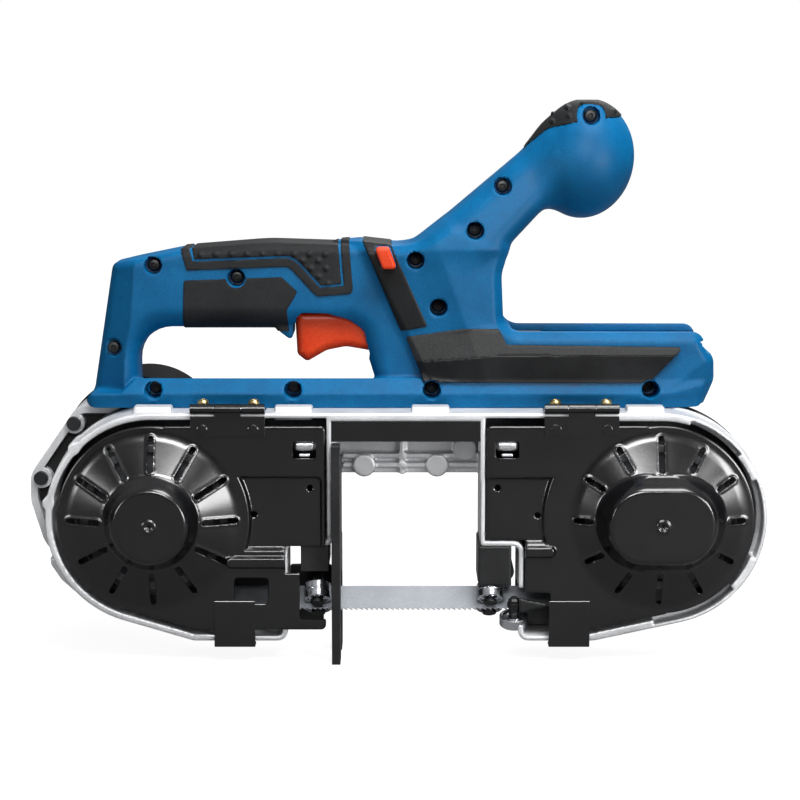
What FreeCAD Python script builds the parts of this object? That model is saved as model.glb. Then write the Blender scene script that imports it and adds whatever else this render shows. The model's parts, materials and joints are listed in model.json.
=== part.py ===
import FreeCAD, Part
import math
import os
import Sketcher
from FreeCAD import Placement, Rotation, Vector

# Compact portable band saw, seen from its guard side.
# +X runs along the saw from the driven wheel to the tensioned wheel, +Y away from the guards, +Z up.
# The origin is the middle of the bounding box in X and Y, at the lowest point, the tip of the work stop.

# The driving dimensions in millimetres (and degrees, counts), kept in the sheet of the document.
SIZES = {
    # whole saw
    "overall_length": 364.0,
    "overall_depth": 156.0,
    "overall_height": 272.0,
    # wheels and blade
    "wheel_spacing": 246.0,
    "axis_height": 70.3,
    "wheel_radius": 38.0,
    "wheel_width": 14.0,
    "wheel_inset": 6.0,
    "wheel_web": 4.0,
    "wheel_rim": 6.0,
    "hub_radius": 17.0,
    "tyre_thickness": 2.0,
    "tyre_lip": 1.0,
    "blade_width": 12.7,
    "blade_thickness": 0.5,
    "blade_gap": 0.3,
    "blade_drop": 3.45,
    "blade_lean": 34.0,
    "running_gap": 0.05,
    "moving_gap": 0.4,
    # frame tray
    "boss_rise": 18.0,
    "tray_depth": 34.0,
    "tray_wall": 4.0,
    "lobe_radius": 52.4,
    "tray_flare": 1.0,
    "flare_depth": 16.0,
    "foot_height": 9.9,
    "step_height": 57.2,
    "bridge_height": 88.0,
    "rib_height": 4.0,
    "rib_width": 2.4,
    "rib_setback": 3.0,
    "pad_height": 2.5,
    "pad_depth": 9.0,
    "pad_length": 18.4,
    "pad_setback": 4.0,
    "saddle_reach": 27.0,
    "lug_radius": 3.0,
    # housing
    "housing_setback": 40.0,
    "base_half_width": 25.5,
    "base_taper": 2.0,
    "base_ridge": 7.3,
    "base_chamfer": 5.5,
    "base_rise": 14.3,
    "body_half_width": 25.5,
    "handle_half_width": 17.0,
    "neck_half_width": 16.0,
    "knob_half_length": 24.4,
    "knob_half_height": 29.0,
    "knob_lean": 9.0,
    "housing_wall": 3.2,
    "body_edge": 4.5,
    "handle_edge": 8.5,
    "neck_edge": 8.0,
    "skin_depth": 1.6,
    "inlay_depth": 3.0,
    "inlay_proud": 0.6,
    "boss_radius": 5.6,
    "recess_radius": 4.3,
    "screw_seat": 9.0,
    "screw_head_radius": 3.6,
    "screw_head_height": 2.6,
    "screw_radius": 1.7,
    "screw_length": 20.0,
    # trigger, switch and lock-off button
    "trigger_half_width": 8.0,
    "trigger_pull": 8.5,
    "slot_height": 30.0,
    "pin_radius": 1.5,
    "switch_length": 24.0,
    "switch_height": 15.0,
    "plunger_radius": 2.0,
    "plunger_depth": 7.0,
    "button_proud": 2.8,
    # battery bay
    "bay_depth": 10.4,
    "bay_half_width": 20.5,
    "bay_lip": 3.4,
    "bay_lip_height": 4.6,
    "terminal_length": 16.0,
    "terminal_height": 7.6,
    "terminal_half_width": 13.0,
    "contact_thickness": 0.8,
    "contact_length": 12.0,
    "contact_height": 4.6,
    "contact_pitch": 5.4,
    "board_length": 26.0,
    "board_height": 17.0,
    "board_thickness": 11.0,
    # gear case
    "case_depth": 32.0,
    "case_wall": 3.6,
    "cover_setback": 6.0,
    "cover_thickness": 3.0,
    "bearing_outer": 11.0,
    "bearing_width": 7.0,
    "drive_shaft_radius": 5.0,
    "boss_wall": 3.6,
    "fit_gap": 0.02,
    "gear_module": 1.0,
    "gear_width": 8.0,
    "fast_module": 0.8,
    "fast_width": 5.0,
    "output_teeth": 48,
    "lay_pinion_teeth": 12,
    "lay_gear_teeth": 45,
    "motor_pinion_teeth": 11,
    "lay_bearing_outer": 6.5,
    "lay_bearing_width": 5.0,
    "lay_shaft_radius": 2.5,
    # motor
    "motor_radius": 38.0,
    "motor_wall": 3.2,
    "end_cap_depth": 12.0,
    "stator_bore": 17.0,
    "air_gap": 0.6,
    "rotor_length": 34.0,
    "motor_shaft_radius": 2.5,
    "motor_bearing_outer": 8.0,
    "motor_bearing_width": 5.0,
    "fan_radius": 27.0,
    "fan_depth": 8.0,
    # tensioner
    "axle_radius": 6.0,
    "tension_travel": 8.0,
    "block_length": 34.0,
    "block_height": 26.0,
    "block_thickness": 11.0,
    "rail_height": 8.0,
    "rail_length": 38.0,
    "rail_lip": 3.0,
    "rail_lip_thickness": 2.6,
    "cam_radius": 18.0,
    "lever_length": 62.0,
    "lever_width": 13.0,
    "lever_thickness": 6.0,
    "lever_turn": 90.0,
    "lever_pin_radius": 4.0,
    "spring_radius": 2.0,
    "spring_wire": 0.5,
    "spring_turns": 6.0,
    # guards
    "sheet": 1.2,
    "guard_gap": 0.2,
    "guard_edge_gap": 2.0,
    "dome_radius": 43.0,
    "dome_rise": 6.0,
    "boss_top_radius": 17.2,
    "boss_length": 16.0,
    "slot_width": 3.2,
    "slot_inner": 22.0,
    "slot_outer": 38.0,
    "slot_count": 12,
    # hinges and catches
    "hinge_length": 36.0,
    "knuckle_radius": 2.2,
    "hinge_pin_radius": 1.1,
    "leaf_depth": 12.0,
    "leaf_drop": 11.0,
    "rivet_radius": 2.4,
    "rivet_height": 1.0,
    "hinge_screw_pitch": 24.6,
    "catch_length": 20.0,
    "catch_rise": 23.0,
    "catch_reach": 7.0,
    "guard_swing": 100.0,
    # blade guides and work stop
    "guide_height": 13.0,
    "guide_depth": 38.0,
    "roller_radius": 6.5,
    "roller_length": 8.0,
    "roller_pin_radius": 2.0,
    "roller_head_radius": 3.4,
    "roller_head_height": 1.8,
    "pad_block": 5.0,
    "stop_thickness": 4.2,
    "stop_forward": 8.0,
    "stop_depth": 44.0,
    "stop_slot_half": 7.0,
    "stop_slot_height": 42.0,
    "bolt_radius": 2.0,
    "bolt_head_radius": 3.5,
    "bolt_head_height": 2.6,
}

document = FreeCAD.newDocument("band_saw")
sheet = document.addObject("Spreadsheet::Sheet", "Sizes")
for row, (name, value) in enumerate(SIZES.items(), start=1):
    sheet.set(f"A{row}", name)
    sheet.set(f"B{row}", str(value))
    sheet.setAlias(f"B{row}", name)
document.recompute()


class Size:
    """A number that carries the sheet expression that gives it."""

    def __init__(self, value, text):
        self.value = value
        self.text = text

    def __float__(self):
        return self.value

    def __add__(self, other):
        other = as_size(other)
        return Size(self.value + other.value, f"({self.text} + {other.text})")

    def __sub__(self, other):
        other = as_size(other)
        return Size(self.value - other.value, f"({self.text} - {other.text})")

    def __mul__(self, other):
        other = as_size(other)
        return Size(self.value * other.value, f"({self.text} * {other.text})")

    def __truediv__(self, other):
        other = as_size(other)
        return Size(self.value / other.value, f"({self.text} / {other.text})")

    def __neg__(self):
        return Size(-self.value, f"(0 - {self.text})")

    __radd__ = __add__
    __rmul__ = __mul__

    def __rsub__(self, other):
        return as_size(other) - self


def as_size(number):
    """A plain number as a Size, so that both can stand in one sum."""
    return number if isinstance(number, Size) else Size(float(number), repr(float(number)))


def size(name):
    """The Size of one cell of the sheet."""
    return Size(float(sheet.get(name)), f"Sizes.{name}")


def along(share):
    """A place along X, as a share of the saw's length from its middle."""
    return size("overall_length") * share


def up(share):
    """A place along Z, as a share of the saw's height."""
    return size("overall_height") * share


pieces = {}


def keep(label, item):
    """Gives a piece the name of its file and lists it for writing."""
    item.Label = label
    pieces[label] = item
    return item


def feature(label, shape):
    """A piece whose shape comes from Part's own functions."""
    item = document.addObject("Part::Feature", label)
    item.Shape = shape
    return keep(label, item)


def locate(item, x, y, z, rotation=Rotation()):
    """Puts an object at a place bound to the sheet."""
    item.Placement = Placement(Vector(float(x), float(y), float(z)), rotation)
    for axis, place in zip("xyz", (x, y, z)):
        item.setExpression(f"Placement.Base.{axis}", as_size(place).text)


def outline_sketch(body, role, points):
    """A closed sketch through bound points in one of the body's own planes."""
    sketch = body.newObject("Sketcher::SketchObject", "Outline")
    plane = [item for item in body.Origin.OriginFeatures if item.Role == role][0]
    sketch.AttachmentSupport = [(plane, "")]
    sketch.MapMode = "FlatFace"
    corners = [Vector(float(across), float(rise), 0) for across, rise in points]
    for number, corner in enumerate(corners):
        following = corners[(number + 1) % len(corners)]
        sketch.addGeometry(Part.LineSegment(corner, following), False)
    for number in range(len(corners)):
        sketch.addConstraint(Sketcher.Constraint("Coincident", number, 2, (number + 1) % len(corners), 1))
    for number, point in enumerate(points):
        for kind, axis, place in zip(("DistanceX", "DistanceY"), (-2, -1), point):
            if float(place) == 0:
                sketch.addConstraint(Sketcher.Constraint("PointOnObject", number, 1, axis))
                continue
            rule = sketch.addConstraint(Sketcher.Constraint(kind, -1, 1, number, 1, float(place)))
            sketch.setExpression(f"Constraints[{rule}]", as_size(place).text)
    return sketch


def turned(label, profile, x, y, z, rotation=Rotation()):
    """A turned piece: a profile of (radius, place along the axis) points spun about its own Y axis."""
    body = document.addObject("PartDesign::Body", label)
    sketch = outline_sketch(body, "XY_Plane", profile)
    spin = body.newObject("PartDesign::Revolution", "Spin")
    spin.Profile = sketch
    spin.ReferenceAxis = (sketch, ["V_Axis"])
    full_turn = 360
    spin.Angle = full_turn
    locate(body, x, y, z, rotation)
    return body


def flat_plate(label, points, thickness, x, y, z, rotation=Rotation()):
    """A flat plate: an outline of (across, up) points in its XZ plane, padded towards its own -Y."""
    body = document.addObject("PartDesign::Body", label)
    sketch = outline_sketch(body, "XZ_Plane", points)
    pad = body.newObject("PartDesign::Pad", "Pad")
    pad.Profile = sketch
    pad.setExpression("Length", as_size(thickness).text)
    locate(body, x, y, z, rotation)
    return body


def ring_profile(inner, outer, length):
    """The profile of a plain ring or sleeve."""
    return [(inner, 0), (outer, 0), (outer, length), (inner, length)]


def headed_profile(shank, shank_length, head, head_height):
    """The profile of a screw, bolt or rivet: its head stands on the plane y = 0, towards -Y."""
    return [(0, -head_height), (head, -head_height), (head, 0), (shank, 0), (shank, shank_length),
            (0, shank_length)]


def bound_box(name, x_from, x_to, y_from, y_to, z_from, z_to):
    """A box whose place and lengths follow the sheet."""
    item = document.addObject("Part::Box", name)
    for side, start, end in (("Length", x_from, x_to), ("Width", y_from, y_to), ("Height", z_from, z_to)):
        item.setExpression(side, (as_size(end) - as_size(start)).text)
    locate(item, x_from, y_from, z_from)
    return item


def bound_rod(name, radius, x, y, z, length, direction=Vector(0, 1, 0)):
    """A cylinder from a place along a direction, +Y unless told otherwise, that follows the sheet."""
    item = document.addObject("Part::Cylinder", name)
    item.setExpression("Radius", as_size(radius).text)
    item.setExpression("Height", as_size(length).text)
    locate(item, x, y, z, Rotation(Vector(0, 0, 1), direction))
    return item


def bound_join(name, items):
    """One solid of several objects."""
    item = document.addObject("Part::MultiFuse", name)
    item.Shapes = items
    item.Refine = True
    return item


def bound_cut(name, base, tools):
    """An object with others cut from it."""
    item = document.addObject("Part::Cut", name)
    item.Base = base
    item.Tool = tools[0] if len(tools) == 1 else bound_join(f"{name}_tools", tools)
    return item


def bound_group(label, items):
    """Separate solids of one kind, kept as one piece."""
    item = document.addObject("Part::Compound", label)
    item.Links = items
    return keep(label, item)


# Shapes made with Part's own functions.

def vector(x, y, z):
    """A vector of sizes or numbers."""
    return Vector(float(x), float(y), float(z))


def box(x_from, x_to, y_from, y_to, z_from, z_to):
    """A box between two places on each axis."""
    span = vector(x_to - x_from, y_to - y_from, z_to - z_from)
    return Part.makeBox(span.x, span.y, span.z, vector(x_from, y_from, z_from))


def rod(radius, x, y_from, y_to, z):
    """A cylinder along Y."""
    return Part.makeCylinder(float(radius), float(y_to) - float(y_from), vector(x, y_from, z), Vector(0, 1,
                                                                                                      0))


def leaning_rod(radius, start, end):
    """A cylinder between two points."""
    return Part.makeCylinder(float(radius), (end - start).Length, start, end - start)


def fused(shapes):
    """One solid of several."""
    return shapes[0].multiFuse(shapes[1:]).removeSplitter()


def spun(profile, x, y, z):
    """A solid of (radius, place along the axis) points spun about a Y axis."""
    corners = [vector(radius, place, 0) for radius, place in profile]
    face = Part.Face(Part.makePolygon(corners + corners[:1]))
    full_turn = 360
    solid = face.revolve(Vector(), Vector(0, 1, 0), full_turn)
    solid.translate(vector(x, y, z))
    return solid


def corner_list(shares):
    """Outline corners (x, z, corner radius) from a table of shares of the saw's length and height."""
    return [tuple(float(item) for item in (along(x), up(z), up(radius))) for x, z, radius in shares]


def body_corners(shares):
    """Outline corners of the plastic body, from shares of the saw's length and of the body's rise."""
    rise = size("overall_height") - tray_top_z
    return [tuple(float(item) for item in (along(x), above(z), rise * radius)) for x, z, radius in shares]


def inset_corners(corners, distance):
    """The corners of an outline moved inwards by a distance, side by side."""
    count = len(corners)
    area = sum(a[0] * b[1] - b[0] * a[1] for a, b in zip(corners, corners[1:] + corners[:1]))
    sign = math.copysign(1, area)
    moved = []
    for number, (x, z, radius) in enumerate(corners):
        sides = []
        for start, end in ((corners[number - 1], corners[number]), (corners[number],
                                                                    corners[(number + 1) % count])):
            length = math.hypot(end[0] - start[0], end[1] - start[1])
            direction = ((end[0] - start[0]) / length, (end[1] - start[1]) / length)
            inward = (-direction[1] * sign, direction[0] * sign)
            sides.append((direction, inward))
        (before, inward_before), (after, inward_after) = sides
        turn = before[0] * after[1] - before[1] * after[0]
        gap_x = (inward_after[0] - inward_before[0]) * distance
        gap_z = (inward_after[1] - inward_before[1]) * distance
        slide = (gap_x * after[1] - gap_z * after[0]) / turn
        place_x = x + inward_before[0] * distance + before[0] * slide
        place_z = z + inward_before[1] * distance + before[1] * slide
        convex = turn * sign > 0
        new_radius = max(radius - distance, 0) if convex else (radius + distance if radius else 0)
        moved.append((place_x, place_z, new_radius))
    return moved


def outline_wire(corners, y):
    """A closed wire at one depth, with tangent arcs at the corners that have a radius."""
    ends = []
    count = len(corners)
    for number, (x, z, radius) in enumerate(corners):
        here = Vector(x, float(y), z)
        if not radius:
            ends.append((here, here, here))
            continue
        before = Vector(corners[number - 1][0], float(y), corners[number - 1][1]) - here
        after = Vector(corners[(number + 1) % count][0], float(y), corners[(number + 1) % count][1]) - here
        before.normalize()
        after.normalize()
        half = before.getAngle(after) / 2
        reach = radius / math.tan(half)
        bisector = before + after
        bisector.normalize()
        middle = here + bisector * (radius / math.sin(half) - radius)
        ends.append((here + before * reach, middle, here + after * reach))
    edges = []
    for number, (start, middle, end) in enumerate(ends):
        if (end - start).Length > 0:
            edges.append(Part.Arc(start, middle, end).toShape())
        edges.append(Part.LineSegment(end, ends[(number + 1) % count][0]).toShape())
    return Part.Wire(edges)


def prism(corners, y_from, y_to):
    """A solid of an outline between two depths."""
    face = Part.Face(outline_wire(corners, y_from))
    return face.extrude(Vector(0, float(y_to) - float(y_from), 0))


def softened(solid, y_from, y_to, radius, floor):
    """Rounds the long edges of a prism on its near and far faces, but not those on its floor."""
    chosen = []
    for edge in solid.Edges:
        heights = [vertex.Point.z for vertex in edge.Vertexes]
        depths = [vertex.Point.y for vertex in edge.Vertexes]
        on_face = max(depths) - min(depths) < float(size("running_gap"))
        on_floor = max(heights) - float(floor) < float(size("running_gap"))
        if on_face and not on_floor:
            chosen.append(edge)
    return solid.makeFillet(float(radius), chosen)


# The main planes and axes, from the near side to the far side.
near_y = -size("overall_depth") / 2
rim_y = near_y + size("boss_rise")
tray_back_y = rim_y + size("tray_depth")
tray_floor_y = tray_back_y - size("tray_wall")
case_back_y = tray_back_y + size("case_depth")
far_y = size("overall_depth") / 2
cap_y = far_y - size("end_cap_depth")
housing_y = rim_y + size("housing_setback")
wheel_y = rim_y + size("wheel_inset")
wheel_back_y = wheel_y + size("wheel_width")
blade_y = wheel_y + size("wheel_width") / 2
idler_x = size("overall_length") / 2 - size("tray_flare") - size("lobe_radius")
drive_x = idler_x - size("wheel_spacing")
axis_z = size("axis_height")
tray_top_z = axis_z + size("lobe_radius")


def above(share):
    """A place along Z, as a share of the plastic body's rise above the tray."""
    return tray_top_z + (size("overall_height") - tray_top_z) * share


throat_left_share = -0.0836
throat_right_share = 0.1142
step_left_share = -0.1434
step_right_share = 0.1661
throat_left_x = along(throat_left_share)
throat_right_x = along(throat_right_share)
step_left_x = along(step_left_share)
step_right_x = along(step_right_share)


# Frame tray: the die-cast aluminium frame, an open tray around both wheels with a bridge over the throat.
foot_left_share = -0.270
foot_right_share = 0.268


def tangent_point(centre_x, radius, point_x, side):
    """Where the line from a foot corner touches a wheel lobe."""
    run = float(point_x - centre_x)
    drop = float(size("foot_height") - axis_z)
    distance = math.hypot(run, drop)
    angle = math.atan2(drop, run) + side * math.acos(float(radius) / distance)
    touch_x = float(centre_x) + float(radius) * math.cos(angle)
    touch_z = float(axis_z) + float(radius) * math.sin(angle)
    return touch_x, touch_z


def lobe_outline(inset, left):
    """The straight-sided part of one end of the tray, moved inwards by an inset."""
    centre_x = drive_x if left else idler_x
    way = 1 if left else -1
    throat_x = (throat_left_x if left else throat_right_x) - inset * way
    step_x = (step_left_x if left else step_right_x) - inset * way
    foot_x = along(foot_left_share if left else foot_right_share)
    foot_z = size("foot_height") + inset
    step_z = size("step_height") + inset
    touch_x, touch_z = tangent_point(centre_x, size("lobe_radius") - inset, foot_x, -1 if left else 1)
    top_z = tray_top_z - inset
    points = [(centre_x, top_z), (throat_x, top_z), (throat_x, step_z), (step_x, step_z), (step_x, foot_z),
              (foot_x, foot_z), (touch_x, touch_z), (centre_x, axis_z)]
    return [(float(x), float(z), 0) for x, z in points]


def tray_block(inset, y_from, y_to):
    """Both lobes of the tray as solid blocks."""
    blocks = []
    for left, centre_x in ((True, drive_x), (False, idler_x)):
        blocks.append(rod(size("lobe_radius") - inset, centre_x, y_from, y_to, axis_z))
        blocks.append(prism(lobe_outline(inset, left), y_from, y_to))
    return fused(blocks)


pad_middle_shares = (-0.322, -0.1345, 0.0481, 0.334)
case_bolt_shares = ((-0.4385, 0.4135), (-0.485, 0.312), (-0.410, 0.160), (-0.250, 0.198), (-0.246, 0.400))
bridge_boss_shares = ((-0.0415, 0.340), (0.0577, 0.340), (0.0960, 0.371))
bridge_rib_shares = (0.341, 0.358)
middle_rib_share = 0.0105
lug_angles = (137, 171)
saddle_shares = (-0.205, 0.300)
# The blade passes the inner walls through windows, its upper run and its lower run.
blade_window_share = 0.72
blade_window_half = size("blade_width") * blade_window_share
upper_run_z = axis_z + size("wheel_radius") + size("blade_gap") + size("blade_thickness") / 2
lower_run_z = axis_z - size("wheel_radius") - size("blade_gap") - size("blade_thickness") / 2
cut_z = lower_run_z - size("blade_drop")
axle_slot_half = size("axle_radius") + size("moving_gap")


def frame_tray():
    """The tray with its back wall, ribs, pads, saddle and bearing boss."""
    wall = size("tray_wall")
    beyond = size("tray_depth")
    flare_y = tray_back_y - size("flare_depth")
    flares = [rod(size("lobe_radius") + size("tray_flare"), centre_x, flare_y, tray_back_y, axis_z)
              for centre_x in (drive_x, idler_x)]
    above_top = box(drive_x - size("lobe_radius") * 2, idler_x + size("lobe_radius") * 2, rim_y,
                    tray_back_y,
                    tray_top_z, tray_top_z + size("lobe_radius"))
    solid = fused([tray_block(0, rim_y, tray_back_y)] + [flare.cut(above_top) for flare in flares]
                  + [box(throat_left_x - wall, throat_right_x + wall, rim_y, tray_back_y,
                         size("bridge_height"), tray_top_z)])
    solid = solid.cut(tray_block(wall, rim_y - beyond, tray_floor_y))
    solid = solid.cut(box(throat_left_x, throat_right_x, rim_y - beyond, tray_floor_y,
                          size("bridge_height") - beyond, tray_top_z - wall))
    # the saddle behind the top wall carries the plastic housing, the pads stand before it
    saddle_from, saddle_to = [along(share) for share in saddle_shares]
    added = [box(saddle_from, saddle_to, tray_back_y, tray_back_y + size("saddle_reach"),
                 tray_top_z - wall, tray_top_z)]
    for share in pad_middle_shares:
        middle = along(share)
        half = size("pad_length") / 2
        added.append(box(middle - half, middle + half, rim_y + size("pad_setback"),
                         rim_y + size("pad_setback") + size("pad_depth"), tray_top_z - wall,
                         tray_top_z + size("pad_height")))
    rib_y = tray_floor_y - size("rib_height")
    half_rib = size("rib_width") / 2
    rib_from_x = throat_left_x + size("stop_thickness") + size("rib_setback")
    for share in bridge_rib_shares:
        added.append(box(rib_from_x, throat_right_x, rib_y, tray_floor_y, up(share) - half_rib,
                         up(share) + half_rib))
    middle = along(middle_rib_share)
    added.append(box(middle - half_rib, middle + half_rib, rib_y, tray_floor_y, size("bridge_height"),
                     tray_top_z - wall))
    for x_share, z_share in bridge_boss_shares:
        added.append(rod(size("boss_radius"), along(x_share), rib_y - half_rib, tray_floor_y, up(z_share)))
    for angle in lug_angles:
        turn = math.radians(angle)
        lug_x = float(drive_x) + float(size("lobe_radius")) * math.cos(turn)
        lug_z = float(axis_z) + float(size("lobe_radius")) * math.sin(turn)
        added.append(rod(size("lug_radius"), lug_x, rim_y, tray_back_y, lug_z))
    added.append(rod(size("bearing_outer") + size("boss_wall"), drive_x,
                     tray_back_y - size("bearing_width") - half_rib,
                     tray_back_y, axis_z))
    solid = fused([solid] + added)
    # bores, windows, the slot of the idler axle and the screw holes
    solid = solid.cut(rod(size("bearing_outer") + size("fit_gap"), drive_x,
                          tray_back_y - size("bearing_width"),
                          tray_back_y + wall, axis_z))
    solid = solid.cut(rod(size("drive_shaft_radius") + size("rib_width"), drive_x, rim_y, tray_back_y,
                          axis_z))
    travel = size("tension_travel") + size("moving_gap")
    cuts = [box(idler_x - travel, idler_x, tray_floor_y - wall, tray_back_y + wall,
                axis_z - axle_slot_half, axis_z + axle_slot_half),
            rod(axle_slot_half, idler_x, tray_floor_y - wall, tray_back_y + wall, axis_z),
            rod(axle_slot_half, idler_x - travel, tray_floor_y - wall, tray_back_y + wall, axis_z)]
    near_window = blade_y - blade_window_half
    far_window = blade_y + blade_window_half
    for wall_x, height in ((throat_left_x, upper_run_z), (throat_right_x, upper_run_z),
                           (step_left_x, cut_z), (step_right_x, cut_z)):
        cuts.append(box(wall_x - wall * 2, wall_x + wall * 2, near_window, far_window,
                        height - size("blade_width") / 2 - wall / 2,
                        height + size("blade_width") / 2 + wall / 2))
    for x_share, z_share in case_bolt_shares:
        cuts.append(rod(size("bolt_radius") + size("fit_gap"), along(x_share), rim_y, tray_back_y + wall,
                        up(z_share)))
    return solid, cuts


tray_solid, tray_cuts = frame_tray()


# Gear case: a die-cast cup on the back of the driven end, with the motor on its back wall.
motor_offset_shares = (-0.0394, 0.0857)
case_shares = ((-0.434, 0.445, 0.030), (-0.500, 0.318, 0.045), (-0.500, 0.268, 0.045), (-0.481, 0.184,
                                                                                        0.050),
               (-0.410, 0.125, 0.060), (-0.284, 0.122, 0.060), (-0.230, 0.190, 0.060), (-0.230, 0.352,
                                                                                        0.045),
               (-0.268, 0.445, 0.035))
motor_x = drive_x + along(motor_offset_shares[0])
motor_z = axis_z + up(motor_offset_shares[1])
output_reach = size("gear_module") * (size("output_teeth") + size("lay_pinion_teeth")) / 2
fast_reach = size("fast_module") * (size("lay_gear_teeth") + size("motor_pinion_teeth")) / 2


def layshaft_place():
    """The place of the layshaft, at both gear centre distances, on the outer side of the motor axis."""
    run = float(motor_x - drive_x)
    rise = float(motor_z - axis_z)
    distance = math.hypot(run, rise)
    forward = (float(output_reach) ** 2 - float(fast_reach) ** 2 + distance ** 2) / (2 * distance)
    aside = math.sqrt(float(output_reach) ** 2 - forward ** 2)
    unit = (run / distance, rise / distance)
    return (float(drive_x) + unit[0] * forward - unit[1] * aside,
            float(axis_z) + unit[1] * forward + unit[0] * aside)


lay_x, lay_z = layshaft_place()
cover_y = tray_back_y + size("cover_setback")
cover_back_y = cover_y + size("cover_thickness")
case_floor_y = case_back_y - size("case_wall")
gear_y = cover_back_y + size("case_wall") / 2
fast_y = gear_y + size("gear_width") + size("case_wall") / 2


def gear_case():
    """The cup with its bearing bosses, the motor opening and the bolt columns."""
    outer = corner_list(case_shares)
    solid = prism(outer, tray_back_y, case_back_y)
    solid = solid.cut(prism(inset_corners(outer, float(size("case_wall"))),
                            tray_back_y - size("case_wall"), case_floor_y))
    columns = [rod(size("bolt_head_radius") + size("boss_wall") / 2, along(x), tray_back_y, case_floor_y,
                   up(z))
               for x, z in case_bolt_shares]
    bore_y = case_back_y - size("case_wall") / 4
    bosses = [rod(size("motor_bearing_outer") + size("boss_wall") / 2, drive_x,
                  bore_y - size("motor_bearing_width"), case_floor_y, axis_z)]
    solid = fused([solid] + [column.common(prism(outer, tray_back_y,
                                                 case_back_y)) for column in columns] + bosses)
    solid = solid.cut(rod(size("motor_bearing_outer") + size("fit_gap"), drive_x,
                          bore_y - size("motor_bearing_width"),
                          bore_y, axis_z))
    solid = solid.cut(rod(size("lay_bearing_outer") + size("fit_gap"), lay_x,
                          bore_y - size("lay_bearing_width"),
                          bore_y, lay_z))
    solid = solid.cut(rod(size("motor_bearing_outer") + size("boss_wall"), motor_x,
                          case_floor_y - size("case_wall"),
                          case_back_y + size("case_wall"), motor_z))
    for x, z in case_bolt_shares:
        solid = solid.cut(rod(size("bolt_radius") + size("fit_gap"), along(x),
                              tray_back_y - size("case_wall"),
                              case_floor_y - size("case_wall"), up(z)))
    return solid


gear_case_solid = gear_case()
case_bolt_places = [vector(along(x), tray_back_y, up(z)) for x, z in case_bolt_shares]


def outside_tray(place):
    """Whether a case bolt sits beside the tray, where its head is seen from the near side."""
    return math.hypot(place.x - float(drive_x), place.z - float(axis_z)) > float(size("lobe_radius"))


bolt_depth = size("case_depth") / 2
m4_bolts = []
for (x_share, z_share), place in zip(case_bolt_shares, case_bolt_places):
    bolt_y = tray_back_y if outside_tray(place) else tray_floor_y
    bolt_profile = headed_profile(size("bolt_radius"), bolt_depth, size("bolt_head_radius"),
                                  size("bolt_head_height"))
    m4_bolts.append(turned("case_bolt", bolt_profile, along(x_share), bolt_y, up(z_share)))

tray_solid = tray_solid.cut(Part.makeCompound(tray_cuts))
feature("gear_case", gear_case_solid)

# Gear cover: the plate that closes the gear space and holds the near bearing of the layshaft.
cover_corners = inset_corners(corner_list(case_shares), float(size("case_wall")))
cover = prism(cover_corners, cover_y, cover_back_y)
cover = fused([cover, rod(size("lay_bearing_outer") + size("boss_wall"), lay_x,
                          cover_back_y - size("lay_bearing_width")
                          - size("case_wall") / 4, cover_back_y, lay_z)])
cover = cover.cut(rod(size("lay_bearing_outer") + size("fit_gap"), lay_x,
                      cover_back_y - size("lay_bearing_width"),
                      cover_back_y + size("case_wall"), lay_z))
cover = cover.cut(rod(size("drive_shaft_radius") + size("rib_width"), drive_x, cover_y - size("case_wall"),
                      cover_back_y + size("case_wall"), axis_z))
for x_share, z_share in case_bolt_shares:
    cover = cover.cut(rod(size("bolt_head_radius") + size("boss_wall") / 2 + size("fit_gap"),
                          along(x_share),
                          cover_y - size("case_wall"), cover_back_y + size("case_wall"), up(z_share)))
feature("gear_cover", cover)

# Gears: hardened steel spur gears with straight stub flanks, thinned for backlash.
tooth_top_share = 0.80
tooth_root_share = 1.20
tooth_thickness_share = 0.80
flank_lean_share = 0.36


def gear_solid(module, teeth, bore, y_from, y_to, x, z, first_tooth):
    """A spur gear with one tooth at the given angle, seen from the near side."""
    pitch = float(module) * float(teeth) / 2
    top = pitch + float(module) * tooth_top_share
    root = pitch - float(module) * tooth_root_share
    half = float(module) * math.pi / 4 * tooth_thickness_share
    top_half = (half - (top - pitch) * flank_lean_share) / top
    root_half = (half + (pitch - root) * flank_lean_share * tooth_top_share) / root
    corners = []
    step = 2 * math.pi / float(teeth)
    for number in range(int(float(teeth))):
        middle = first_tooth + number * step
        for radius, turn in ((root, -root_half), (top, -top_half), (top, top_half), (root, root_half)):
            angle = middle + turn
            corners.append(vector(float(x) + radius * math.cos(angle), y_from,
                                  float(z) + radius * math.sin(angle)))
    solid = Part.Face(Part.makePolygon(corners + corners[:1])).extrude(Vector(0, float(y_to - y_from), 0))
    return solid.cut(rod(bore, x, y_from - module, y_to + module, z))


to_layshaft = math.atan2(lay_z - float(axis_z), lay_x - float(drive_x))
to_motor = math.atan2(float(motor_z) - lay_z, float(motor_x) - lay_x)
facing_turn = math.pi

# Driven wheel: cast aluminium with a rubber tyre, bolted to the drive shaft.
tyre_seat = size("wheel_radius") - size("tyre_thickness")
web_from = (size("wheel_width") - size("wheel_web")) / 2
web_to = web_from + size("wheel_web")


def wheel_profile(bore):
    """A wheel with a rim, a thin web and a hub, from its near face to its far face."""
    rim_inner = tyre_seat - size("wheel_rim") + size("tyre_thickness")
    return [(bore, 0), (size("hub_radius"), 0), (size("hub_radius"), web_from), (rim_inner, web_from),
            (rim_inner, 0),
            (tyre_seat, 0), (tyre_seat, size("wheel_width")), (rim_inner, size("wheel_width")), (rim_inner,
                                                                                                 web_to),
            (size("hub_radius"), web_to), (size("hub_radius"), size("wheel_width")), (bore,
                                                                                      size("wheel_width"))]


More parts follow.
